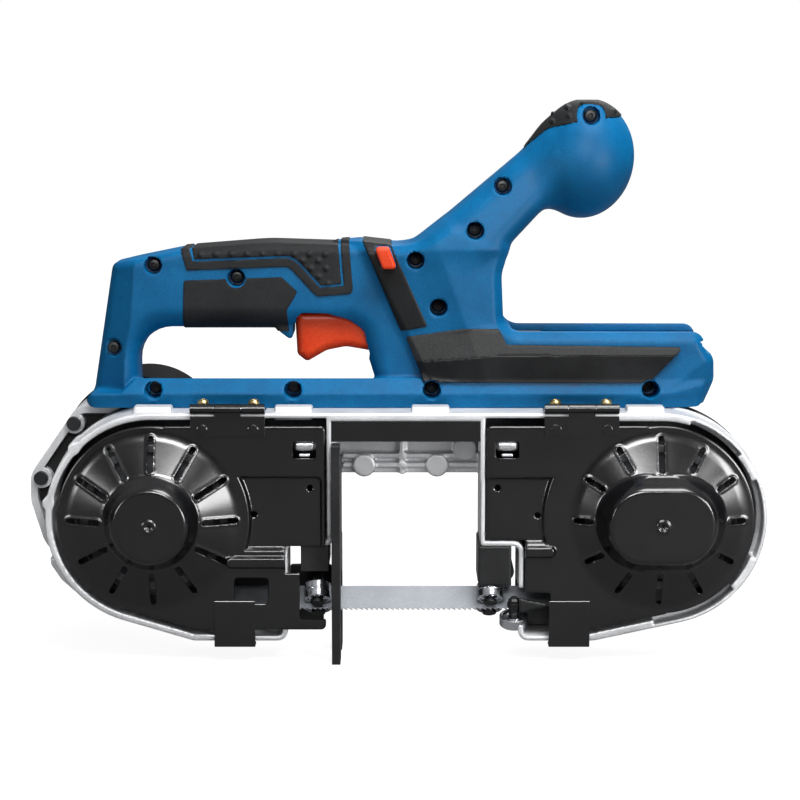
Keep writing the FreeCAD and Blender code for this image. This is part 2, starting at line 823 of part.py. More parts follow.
keep("drive_wheel", turned("drive_wheel", wheel_profile(size("drive_shaft_radius") + size("fit_gap")),
                           drive_x, wheel_y, axis_z))
tyre_profile = ring_profile(tyre_seat, size("wheel_radius"), size("wheel_width"))
keep("drive_tyre", turned("drive_tyre", tyre_profile, drive_x, wheel_y, axis_z))

# Drive shaft: turned steel, stepped to the small bearing in the back of the gear case.
shaft_radius = size("drive_shaft_radius")
bore_back_y = case_back_y - size("case_wall") / 4
shaft_end = bore_back_y - wheel_y - size("moving_gap")
shoulder = bore_back_y - size("motor_bearing_width") - wheel_y - size("moving_gap")
small_radius = shaft_radius - size("tyre_lip")
shaft_collar = shaft_radius + size("tyre_lip")
collar_from = wheel_back_y - wheel_y
collar_to = tray_back_y - size("bearing_width") - wheel_y - size("moving_gap")
shaft_profile = [(0, 0), (shaft_radius, 0), (shaft_radius, collar_from), (shaft_collar, collar_from),
                 (shaft_collar, collar_to), (shaft_radius, collar_to), (shaft_radius, shoulder),
                 (small_radius, shoulder),
                 (small_radius, shaft_end), (0, shaft_end)]
keep("drive_shaft", turned("drive_shaft", shaft_profile, drive_x, wheel_y, axis_z))
bolt_washer_share = 0.6
washer_radius = size("hub_radius") * bolt_washer_share
keep("drive_wheel_bolt", bound_rod("drive_wheel_bolt", washer_radius, drive_x,
                                   wheel_y - size("bolt_head_height"), axis_z,
                                   size("bolt_head_height")))
feature("output_gear", gear_solid(size("gear_module"), size("output_teeth"), shaft_radius + size("fit_gap"),
                                  gear_y, gear_y + size("gear_width"), drive_x, axis_z, to_layshaft))

# Ball bearings: of the drive shaft in the tray and in the back wall of the gear case.
ball_bearings = [turned("tray_bearing", ring_profile(shaft_radius + size("running_gap"),
                                                     size("bearing_outer"),
                                                     size("bearing_width")),
                        drive_x, tray_back_y - size("bearing_width"), axis_z),
                 turned("case_bearing", ring_profile(small_radius + size("running_gap"),
                                                     size("motor_bearing_outer"),
                                                     size("motor_bearing_width")),
                        drive_x, bore_back_y - size("motor_bearing_width"), axis_z)]

# Layshaft: a steel shaft with its own pinion and a pressed-on large gear.
lay_radius = size("lay_shaft_radius")
lay_from_y = cover_back_y - size("lay_bearing_width") + size("running_gap")
lay_to_y = bore_back_y - size("moving_gap")
half_step = math.pi / float(size("lay_pinion_teeth"))
pinion = gear_solid(size("gear_module"), size("lay_pinion_teeth"), lay_radius, gear_y - size("moving_gap"),
                    gear_y + size("gear_width") + size("moving_gap"), lay_x, lay_z,
                    to_layshaft + facing_turn + half_step)
feature("layshaft", fused([pinion, rod(lay_radius, lay_x, lay_from_y, lay_to_y, lay_z)]))
feature("layshaft_gear", gear_solid(size("fast_module"), size("lay_gear_teeth"),
                                    lay_radius + size("fit_gap"), fast_y,
                                    fast_y + size("fast_width"), lay_x, lay_z, to_motor))
lay_ring = ring_profile(lay_radius + size("running_gap"), size("lay_bearing_outer"),
                        size("lay_bearing_width"))
for bearing_back_y in (cover_back_y, bore_back_y):
    ball_bearings.append(turned("layshaft_bearing", lay_ring, lay_x,
                                bearing_back_y - size("lay_bearing_width"), lay_z))

# Motor: a brushless motor in a plastic can on the back wall of the gear case, with its end cap.
can_inner = size("motor_radius") - size("motor_wall")
can_length = cap_y - case_back_y
can_profile = [(size("motor_bearing_outer") + size("fit_gap"), 0), (size("motor_radius"), 0),
               (size("motor_radius"), can_length), (can_inner, can_length), (can_inner, size("motor_wall")),
               (size("motor_bearing_outer") + size("boss_wall"), size("motor_wall")),
               (size("motor_bearing_outer") + size("boss_wall"), size("motor_bearing_width")),
               (size("motor_bearing_outer") + size("fit_gap"), size("motor_bearing_width"))]
keep("motor_housing", turned("motor_housing", can_profile, motor_x, case_back_y, motor_z))

vent_count = 10
vent_width_share = 0.12
vent_inner_share = 0.45
vent_outer_share = 0.80


def end_cap():
    """The end cap with its bearing seat, a rounded outer edge and a ring of air vents."""
    depth = size("end_cap_depth")
    solid = spun([(0, 0), (size("motor_radius"), 0), (size("motor_radius"), depth), (0, depth)], motor_x,
                 cap_y, motor_z)
    outer_edge = [edge for edge in solid.Edges if edge.BoundBox.YMin > float(far_y - size("running_gap"))]
    solid = solid.makeFillet(float(depth) / 2, outer_edge)
    hollow = size("end_cap_depth") - size("motor_wall")
    solid = solid.cut(spun([(size("motor_bearing_outer") + size("boss_wall"), -size("motor_wall")),
                            (can_inner, -size("motor_wall")), (can_inner, hollow / 2),
                            (can_inner - hollow / 2, hollow),
                            (size("motor_bearing_outer") + size("boss_wall"), hollow)], motor_x, cap_y,
                            motor_z))
    solid = solid.cut(rod(size("motor_bearing_outer") + size("fit_gap"), motor_x,
                          cap_y - size("motor_wall"),
                          cap_y + size("motor_bearing_width"), motor_z))
    half = size("motor_radius") * vent_width_share / 2
    for number in range(vent_count):
        vent = box(motor_x + size("motor_radius") * vent_inner_share,
                   motor_x + size("motor_radius") * vent_outer_share,
                   cap_y + size("motor_wall"), far_y + size("motor_wall"), motor_z - half, motor_z + half)
        vent.rotate(vector(motor_x, cap_y, motor_z), Vector(0, 1, 0),
                    number / vent_count * math.degrees(2 * math.pi))
        solid = solid.cut(vent)
    return solid


feature("motor_end_cap", end_cap())
stator_from = size("motor_bearing_width") * 2
stator_profile = ring_profile(size("stator_bore"), can_inner - size("fit_gap"), size("rotor_length"))
stator_y = case_back_y + stator_from
keep("stator", turned("stator", stator_profile, motor_x, stator_y, motor_z))
rotor_profile = ring_profile(size("motor_shaft_radius") + size("fit_gap"),
                             size("stator_bore") - size("air_gap"),
                             size("rotor_length"))
keep("rotor", turned("rotor", rotor_profile, motor_x, stator_y, motor_z))
fan_y = stator_y + size("rotor_length") + size("motor_wall")
fan_hub = size("motor_bearing_outer")
blade_count = 9
fan_parts = [spun(ring_profile(size("motor_shaft_radius") + size("fit_gap"), size("fan_radius"),
                               size("motor_wall") / 2),
                  motor_x, fan_y, motor_z),
             spun(ring_profile(size("motor_shaft_radius") + size("fit_gap"), fan_hub, size("fan_depth")),
                  motor_x, fan_y, motor_z)]
for number in range(blade_count):
    vane = box(motor_x + fan_hub / 2 + size("motor_shaft_radius"),
               motor_x + size("fan_radius") - size("air_gap"), fan_y,
               fan_y + size("fan_depth"), motor_z, motor_z + size("motor_wall") / 2)
    vane.rotate(vector(motor_x, fan_y, motor_z), Vector(0, 1, 0),
                number / blade_count * math.degrees(2 * math.pi))
    fan_parts.append(vane)
feature("cooling_fan", fused(fan_parts).cut(rod(size("motor_shaft_radius") + size("fit_gap"), motor_x,
                                                fan_y,
                                                fan_y + size("fan_depth"), motor_z)))
motor_pinion = gear_solid(size("fast_module"), size("motor_pinion_teeth"), size("motor_shaft_radius") / 2,
                          fast_y - size("moving_gap"), fast_y + size("fast_width") + size("moving_gap"),
                          motor_x, motor_z,
                          to_motor + facing_turn + math.pi / float(size("motor_pinion_teeth")))
rotor_shaft = fused([motor_pinion, rod(size("motor_shaft_radius"), motor_x, fast_y - size("moving_gap"),
                                       cap_y + size("motor_bearing_width") - size("moving_gap"), motor_z)])
feature("rotor_shaft", rotor_shaft)
motor_ring = ring_profile(size("motor_shaft_radius") + size("running_gap"), size("motor_bearing_outer"),
                          size("motor_bearing_width"))
for bearing_y in (case_back_y, cap_y):
    ball_bearings.append(turned("motor_bearing", motor_ring, motor_x, bearing_y, motor_z))
bound_group("ball_bearings", ball_bearings)

# Idler wheel: the tensioned wheel, on two ball bearings on the axle of the tension slide.
hub_bore = size("bearing_outer")
keep("idler_wheel", turned("idler_wheel", wheel_profile(hub_bore + size("fit_gap")), idler_x, wheel_y,
                           axis_z))
keep("idler_tyre", turned("idler_tyre", tyre_profile, idler_x, wheel_y, axis_z))
half_wheel = size("wheel_width") / 2
idler_ring = ring_profile(size("axle_radius") + size("running_gap"), hub_bore,
                          half_wheel - size("running_gap"))
bound_group("idler_bearings", [turned("idler_bearing", idler_ring, idler_x, bearing_y, axis_z)
                               for bearing_y in (wheel_y, blade_y + size("running_gap"))])

# Tension slide: a steel block behind the tray with the idler axle, its spring and pusher,
# moved by a cam lever.
block_y = tray_back_y + size("moving_gap")
block_back_y = block_y + size("block_thickness")
half_block = size("block_length") / 2
half_block_height = size("block_height") / 2
spring_bore = size("spring_radius") + size("spring_wire") + size("moving_gap")
pusher_share = 0.2
pusher_length = size("block_length") * pusher_share
spring_x = idler_x - half_block + pusher_length
spring_z = axis_z - half_block_height + spring_bore + size("spring_wire")
spring_y = block_y + size("block_thickness") / 2
spring_length_share = 0.45
spring_length = size("block_length") * spring_length_share
block_low_z = axis_z - half_block_height
block_high_z = axis_z + half_block_height
block_blank = bound_box("block_blank", spring_x, idler_x + half_block, block_y, block_back_y, block_low_z,
                        block_high_z)
axle_bore = bound_rod("axle_bore", size("axle_radius") + size("fit_gap"), idler_x, block_y, axis_z,
                      size("block_thickness"))
spring_channel = bound_rod("spring_channel", spring_bore, spring_x, spring_y, spring_z, spring_length,
                           Vector(1, 0, 0))
keep("tension_block", bound_cut("tension_block", block_blank, [axle_bore, spring_channel]))
keep("tension_pusher", bound_box("tension_pusher", idler_x - half_block, spring_x, block_y, block_back_y,
                                 block_low_z, block_high_z))
helix = Part.makeHelix(float(spring_length - size("spring_wire") * 2) / float(size("spring_turns")),
                       float(spring_length - size("spring_wire") * 2), float(size("spring_radius")))
wire_start = Vector(float(size("spring_radius")), 0, 0)
wire_circle = Part.Wire(Part.makeCircle(float(size("spring_wire")), wire_start, Vector(0, 1, 0)))
coil = Part.Wire(helix.Edges).makePipeShell([wire_circle], True, True)
quarter_turn = 90
coil.rotate(Vector(), Vector(0, 1, 0), quarter_turn)
coil.translate(vector(spring_x + size("spring_wire"), spring_y, spring_z))
feature("tension_spring", coil)
axle_head = size("axle_radius") + size("tyre_thickness") * 2
axle_back = block_back_y - wheel_y
axle_from = -size("bolt_head_height")
axle_seat = -size("running_gap")
axle_profile = [(0, axle_from), (axle_head, axle_from), (axle_head, axle_seat),
                (size("axle_radius"), axle_seat), (size("axle_radius"), axle_back), (0, axle_back)]
keep("idler_axle", turned("idler_axle", axle_profile, idler_x, wheel_y, axis_z))

# Slide rails: two steel rails with lips that hold the tension slide on the back of the tray.
rail_x = idler_x - half_block
rail_back_y = block_back_y + size("moving_gap")
rail_end_x = rail_x + size("rail_length")
lip_back_y = rail_back_y + size("rail_lip_thickness")
rail_screw_shares = (0.15, 0.85)
rail_screw_length = lip_back_y - tray_floor_y
rails = []
m3_screws = []
m3_holes = []


def m3_screw(x, y, z, length, direction):
    """A small pan-head screw: its head sits on the given place, its shank runs along the direction."""
    back = direction * -1
    head = bound_rod("m3_head", size("rivet_radius"), x, y, z, size("rivet_height"), back)
    shank = bound_rod("m3_shank", size("pin_radius"), x, y, z, length, direction)
    m3_screws.append(bound_join("m3_screw", [head, shank]))


for name, way in (("upper", 1), ("lower", -1)):
    inner = axis_z + (half_block_height + size("moving_gap")) * way
    outer = inner + size("rail_height") * way
    lip = inner - size("rail_lip") * way
    low, high = (inner, outer) if way > 0 else (outer, inner)
    lip_low, lip_high = (lip, outer) if way > 0 else (outer, lip)
    rail = bound_join(f"{name}_rail_blank", [
        bound_box("rail_body", rail_x, rail_end_x, tray_back_y, rail_back_y, low, high),
        bound_box("rail_cap", rail_x, rail_end_x, rail_back_y, lip_back_y, lip_low, lip_high)])
    screw_z = (inner + outer) / 2
    holes = []
    for share in rail_screw_shares:
        screw_x = rail_x + size("rail_length") * share
        holes.append(bound_rod("rail_hole", size("pin_radius") + size("fit_gap"), screw_x, tray_back_y,
                               screw_z,
                               lip_back_y - tray_back_y))
        m3_holes.append(rod(size("pin_radius") + size("fit_gap"), screw_x,
                            tray_floor_y - size("tray_wall"), lip_back_y, screw_z))
        m3_screw(screw_x, lip_back_y, screw_z, rail_screw_length, Vector(0, -1, 0))
    rails.append(bound_cut(f"{name}_rail", rail, holes))
bound_group("slide_rails", rails)

# Tension lever: a zinc lever whose spiral cam pushes the slide; a quarter turn lets the blade go slack.
lever_x = idler_x - half_block - size("moving_gap") - size("cam_radius")
cam_y = block_y
arm_y = lip_back_y + size("rivet_height") + size("moving_gap")
arm_back_y = arm_y + size("lever_thickness")
cam_steps = 18


def lever_cam():
    """The cam: an involute whose reach falls evenly over the quarter turn by the travel of the slide."""
    turn = math.radians(float(size("lever_turn")))
    fall = float(size("tension_travel")) / turn
    points = []
    for number in range(cam_steps + 1):
        angle = turn * number / cam_steps
        reach = float(size("cam_radius")) - fall * angle
        points.append((reach * math.cos(angle) + fall * math.sin(angle),
                       reach * math.sin(angle) - fall * math.cos(angle)))
    small = float(size("cam_radius") - size("tension_travel"))
    for angle in cam_back_angles:
        points.append((small * math.cos(math.radians(angle)), small * math.sin(math.radians(angle))))
    corners = [vector(float(lever_x) + across, cam_y, float(axis_z) + rise) for across, rise in points]
    return Part.Face(Part.makePolygon(corners + corners[:1])).extrude(Vector(0, float(arm_y - cam_y), 0))


cam_back_angles = (100, 130, 160, 190, 220, 250, 280)
lever_hub = rod(size("lever_width") / 2 + size("tyre_thickness"), lever_x, arm_y, arm_back_y, axis_z)
half_lever = size("lever_width") / 2
lever_tip_x = lever_x + size("lever_length") - half_lever
lever_arm = box(lever_x, lever_tip_x, arm_y, arm_back_y, axis_z - half_lever, axis_z + half_lever)
lever = fused([lever_cam(), lever_hub, lever_arm, rod(half_lever, lever_tip_x, arm_y, arm_back_y, axis_z)])
lever = lever.cut(rod(size("lever_pin_radius") + size("running_gap"), lever_x, tray_back_y, far_y, axis_z))
feature("tension_lever", lever)
lever_bolt_back = arm_back_y + size("moving_gap")
lever_bolt_hole = rod(size("lever_pin_radius") + size("fit_gap"), lever_x,
                      tray_floor_y - size("tray_wall"), tray_back_y, axis_z)
keep("lever_bolt", bound_join("lever_bolt", [
    bound_rod("lever_bolt_shank", size("lever_pin_radius"), lever_x, tray_floor_y, axis_z,
              lever_bolt_back - tray_floor_y),
    bound_rod("lever_bolt_head", size("lever_pin_radius") * 2, lever_x, lever_bolt_back, axis_z,
              size("bolt_head_height"))]))

# Saw blade: one endless steel band around both wheels,
# twisted at the guides so that its teeth lean forward.
roller_left_share = -0.1038
roller_right_share = 0.1290
roller_left_x = along(roller_left_share)
roller_right_x = along(roller_right_share)
quarter = math.pi / 2
twist = quarter - math.radians(float(size("blade_lean")))
twist_steps = 10


def width_direction(turn):
    """The direction across the band from its back to its teeth, after a twist."""
    return Vector(0, -math.cos(turn), -math.sin(turn))


def face_direction(turn):
    """The direction square to the band's face, towards the near side."""
    return Vector(0, -math.sin(turn), math.cos(turn))


def band_section(x, z, turn):
    """The cross-section of the band at one place along its lower run."""
    middle = vector(x, blade_y, z)
    across = width_direction(turn) * (float(size("blade_width")) / 2)
    through = face_direction(turn) * (float(size("blade_thickness")) / 2)
    corners = [middle + across + through, middle - across + through, middle - across - through,
               middle + across - through]
    return Part.makePolygon(corners + corners[:1])


def lower_run():
    """The twisting lower run from wheel to wheel, through both guides."""
    sections = []
    for wheel_x, guide_x in ((drive_x, roller_left_x), (idler_x, roller_right_x)):
        run = []
        for number in range(twist_steps + 1):
            part = number / twist_steps
            eased = part * part * (3 - 2 * part)
            place_x = float(wheel_x) + (float(guide_x) - float(wheel_x)) * part
            place_z = float(lower_run_z) - float(size("blade_drop")) * part
            run.append(band_section(place_x, place_z, twist * eased))
        sections.append(run)
    return Part.makeLoft(sections[0] + sections[1][::-1], True, True)


def saw_blade():
    """The whole band."""
    inner = size("wheel_radius") + size("blade_gap")
    outer = inner + size("blade_thickness")
    half = size("blade_width") / 2
    bands = [box(drive_x, idler_x, blade_y - half, blade_y + half, axis_z + inner, axis_z + outer),
             lower_run()]
    for centre_x, way in ((drive_x, -1), (idler_x, 1)):
        ring = rod(outer, centre_x, blade_y - half, blade_y + half, axis_z)
        ring = ring.cut(rod(inner, centre_x, blade_y - half, blade_y + half, axis_z))
        side_x = centre_x + outer * 2 * way
        x_from, x_to = sorted((float(centre_x), float(side_x)))
        bands.append(ring.common(box(as_size(x_from), as_size(x_to), blade_y - outer, blade_y + outer,
                                     axis_z - outer * 2, axis_z + outer * 2)))
    return bands[0].multiFuse(bands[1:])


feature("saw_blade", saw_blade())

# Blade guides: a zinc block on each side of the throat,
# with a nose behind the blade and two rollers on pins.
guide_y = rim_y + size("bolt_head_height")
guide_back_y = guide_y + size("guide_depth")
guide_low_z = size("step_height") - size("guide_height")
block_spans_shares = {"left": (-0.1257, -0.0885), "right": (0.1148, 0.1557)}
across = width_direction(twist)
facing = face_direction(twist)
roller_offset = float(size("blade_thickness")) / 2 + float(size("blade_gap")) + float(size("roller_radius"))
roller_shift = float(size("pin_radius")) / 2
pin_top_z = size("step_height") - size("roller_pin_radius") * 2
guide_blocks = []
all_pins = []
roller_profile = ring_profile(size("roller_pin_radius") + size("running_gap"), size("roller_radius"),
                              size("roller_length"))
# the rollers' own axis is Y, laid along the width of the band
roller_turn = Rotation(Vector(0, 1, 0), across)
for side, roller_x in (("left", roller_left_x), ("right", roller_right_x)):
    x_from, x_to = [along(share) for share in block_spans_shares[side]]
    block = box(x_from, x_to, guide_y, guide_back_y, guide_low_z, size("step_height"))
    for depth, way in (("near", 1), ("far", -1)):
        middle = vector(roller_x, blade_y, cut_z) + facing * (roller_offset * way) - across * roller_shift
        start = middle - across * (float(size("roller_length")) / 2)
        label = f"roller_{side}_{depth}"
        item = turned(label, roller_profile, start.x, start.y, start.z, roller_turn)
        keep(label, item)
        low_end = middle + across * (float(size("roller_length")) / 2 + float(size("moving_gap")))
        reach = (float(pin_top_z) - middle.z) / -across.z
        top_end = middle - across * reach
        pin = leaning_rod(size("roller_pin_radius"), low_end, top_end)
        head = leaning_rod(size("roller_head_radius"), low_end,
                           low_end + across * float(size("roller_head_height")))
        all_pins.append(fused([pin, head]))
        block = block.cut(leaning_rod(size("roller_pin_radius") + size("fit_gap"), low_end, top_end))
    # the nose backs the edge of the band behind its teeth
    half_pad = float(size("pad_block")) / 2
    edge = vector(roller_x, blade_y,
                  cut_z) - across * (float(size("blade_width")) / 2 + float(size("blade_gap")))
    reach = (float(guide_low_z) + float(size("pad_block")) - edge.z) / -across.z
    corners = []
    for along_x, through in ((-1, -1), (1, -1), (1, 1), (-1, 1)):
        corners.append(edge + Vector(half_pad * along_x, 0, 0) + facing * (half_pad * through))
    nose = Part.Face(Part.makePolygon(corners + corners[:1])).extrude(across * -reach)
    guide_blocks.append(fused([block, nose]))
feature("guide_blocks", Part.makeCompound(guide_blocks))
feature("guide_pins", Part.makeCompound(all_pins))

# Work stop: a black steel plate on the throat wall that the work is pressed against,
# forked around the blade.
stop_near_y = rim_y - size("stop_forward")
stop_far_y = stop_near_y + size("stop_depth")
stop_shares = {"top": 0.396, "shoulder": 0.360, "neck": 0.21}
stop_post_share = 0.24
stop_post_y = stop_near_y + size("stop_depth") * stop_post_share
stop_neck_share = 0.18
stop_neck_y = stop_far_y - size("stop_depth") * stop_neck_share
slot_near_y = blade_y - size("stop_slot_half")
slot_far_y = blade_y + size("stop_slot_half")
stop_x = throat_left_x
stop_face_x = stop_x + size("stop_thickness")
stop_points = [(-stop_near_y, 0), (-stop_near_y, up(stop_shares["top"])), (-stop_post_y,
                                                                           up(stop_shares["top"])),
               (-stop_post_y, up(stop_shares["shoulder"])), (-stop_neck_y, up(stop_shares["shoulder"])),
               (-stop_neck_y, up(stop_shares["neck"])), (-stop_far_y, up(stop_shares["neck"])),
               (-stop_far_y, 0),
               (-slot_far_y, 0), (-slot_far_y, size("stop_slot_height")), (-slot_near_y,
                                                                           size("stop_slot_height")),
               (-slot_near_y, 0)]
# the plate's own X runs towards -Y and its own -Y towards +X
plate_turn = Rotation(Vector(0, 0, 1), -math.degrees(quarter))
stop_plate = flat_plate("stop_plate", stop_points, size("stop_thickness"), stop_face_x, 0, 0, plate_turn)
stop_bolt_shares = (0.338, 0.250)
stop_hole_tools = []
stop_wall_holes = []
head_seat_x = stop_face_x - size("bolt_head_height")
bolt_reach = size("tray_wall") + size("stop_thickness")
along_x_axis = Vector(1, 0, 0)
for share in stop_bolt_shares:
    bolt_z = up(share)
    shank = bound_rod("stop_bolt_shank", size("bolt_radius"), head_seat_x - bolt_reach, blade_y, bolt_z,
                      bolt_reach, along_x_axis)
    head = bound_rod("stop_bolt_head", size("bolt_head_radius"), head_seat_x, blade_y, bolt_z,
                     size("bolt_head_height"),
                     along_x_axis)
    m4_bolts.append(bound_join("stop_bolt", [shank, head]))
    stop_hole_tools.append(bound_rod("stop_bore", size("bolt_radius") + size("fit_gap"), stop_x, blade_y,
                                     bolt_z,
                                     size("stop_thickness"), along_x_axis))
    stop_hole_tools.append(bound_rod("stop_counterbore", size("bolt_head_radius") + size("fit_gap"),
                                     head_seat_x, blade_y,
                                     bolt_z, size("bolt_head_height"), along_x_axis))
    stop_wall_holes.append(Part.makeCylinder(float(size("bolt_radius") + size("fit_gap")),
                                             float(bolt_reach * 2),
                                             vector(stop_x - bolt_reach, blade_y, bolt_z), along_x_axis))
keep("work_stop", bound_cut("work_stop", stop_plate, stop_hole_tools))
bound_group("m4_bolts", m4_bolts)

# Guards: two stamped sheet-steel covers with a dome over each wheel, a ring of slots and a rolled edge.
guard_back_y = rim_y - size("guard_gap")
guard_y = guard_back_y - size("sheet")
guard_inset = size("tray_wall") + size("guard_edge_gap")
guard_radius = size("lobe_radius") - guard_inset
boss_foot_radius = size("boss_top_radius") + size("dome_rise") / 2
guard_lap_share = 0.75


def dome_profile(shrink):
    """The domed sheet from its flat foot to the top of the boss, as a closed section."""
    thin = size("sheet") * guard_lap_share
    foot = size("dome_radius") - shrink
    slope_y = -size("dome_rise")
    top_y = near_y - guard_y
    outside = [(foot, 0), (boss_foot_radius, slope_y), (size("boss_top_radius"), top_y), (0, top_y)]
    inside = [(0, top_y + size("sheet")), (size("boss_top_radius") - thin, top_y + size("sheet")),
              (boss_foot_radius - thin, slope_y + size("sheet")), (foot - thin, size("sheet"))]
    return outside + inside


def long_dome(centre_x, stretch):
    """A dome, drawn out along X by a stretch."""
    shrink = stretch / 2
    whole = spun(dome_profile(shrink), centre_x, guard_y, axis_z)
    if float(stretch) == 0:
        return whole
    reach = size("overall_depth")
    halves = []
    for way in (-1, 1):
        x_from, x_to = sorted((float(centre_x), float(centre_x + reach * way)))
        half = whole.common(box(as_size(x_from), as_size(x_to), near_y - reach, guard_back_y + reach,
                                axis_z - reach, axis_z + reach))
        half.translate(vector(shrink * way, 0, 0))
        halves.append(half)
    section = [vector(centre_x - shrink, guard_y + place, axis_z + radius) for radius,
               place in dome_profile(shrink)]
    mirror = [vector(centre_x - shrink, guard_y + place, axis_z - radius) for radius,
              place in dome_profile(shrink)]
    bars = [Part.Face(Part.makePolygon(side + side[:1])).extrude(vector(stretch, 0,
                                                                        0)) for side in (section, mirror)]
    return fused(halves + bars)


def guard_sheet(left):
    """One guard: flat sheet, dome, slots and windows."""
    centre_x = drive_x if left else idler_x
    stretch = size("boss_length") * (0 if left else 1)
    inset = guard_inset
    lap = size("tray_wall") * guard_lap_share
    top_z = tray_top_z - inset
    step_z = size("step_height") + size("bolt_head_height")
    flat = [rod(guard_radius, centre_x, guard_y, guard_back_y, axis_z),
            prism(lobe_outline(inset, left), guard_y, guard_back_y)]
    if left:
        flat.append(box(throat_left_x - inset * 2, throat_left_x - lap, guard_y, guard_back_y, step_z,
                        top_z))
        flat.append(box(step_left_x - inset * 2, throat_left_x - lap, guard_y, guard_back_y,
                        size("foot_height") + inset, guide_low_z))
    else:
        flat.append(box(throat_right_x + lap, throat_right_x + inset * 2, guard_y, guard_back_y, step_z,
                        top_z))
    sheet_solid = fused(flat)
    hollow = rod(size("dome_radius") - stretch / 2 - size("sheet"), centre_x - stretch / 2, guard_y,
                 guard_back_y, axis_z)
    if not left:
        other = hollow.copy()
        other.translate(vector(stretch, 0, 0))
        height = size("dome_radius") - stretch / 2 - size("sheet")
        hollow = fused([hollow, other, box(centre_x - stretch / 2, centre_x + stretch / 2, guard_y,
                                           guard_back_y,
                                           axis_z - height, axis_z + height)])
    solid = fused([sheet_solid.cut(hollow), long_dome(centre_x, stretch)])
    cuts = []
    half_slot = size("slot_width") / 2
    count = int(float(size("slot_count")))
    for number in range(count):
        turn = 2 * math.pi * number / count
        shift = stretch / 2 * abs(math.cos(turn))
        slot = box(centre_x + size("slot_inner") + shift, centre_x + size("slot_outer") + shift / 2,
                   near_y, rim_y,
                   axis_z - half_slot, axis_z + half_slot)
        slot.rotate(vector(centre_x, near_y, axis_z), Vector(0, 1, 0), math.degrees(turn))
        cuts.append(slot)
    windows = left_window_shares if left else right_window_shares
    for x_from, x_to, z_from, z_to in windows:
        cuts.append(box(along(x_from), along(x_to), near_y, rim_y, up(z_from), up(z_to)))
    return solid.cut(Part.makeCompound(cuts[:count])).cut(Part.makeCompound(cuts[count:]))


# louvres by the throat, the window over the left catch and the clearance for the left rollers
left_window_shares = ((-0.135, -0.104, 0.371, 0.401), (-0.214, -0.169, 0.106, 0.154), (-0.127, -0.085,
                                                                                       0.078, 0.170))
right_window_shares = ((0.132, 0.163, 0.371, 0.401),)
guard_solids = {"left": guard_sheet(True), "right": guard_sheet(False)}

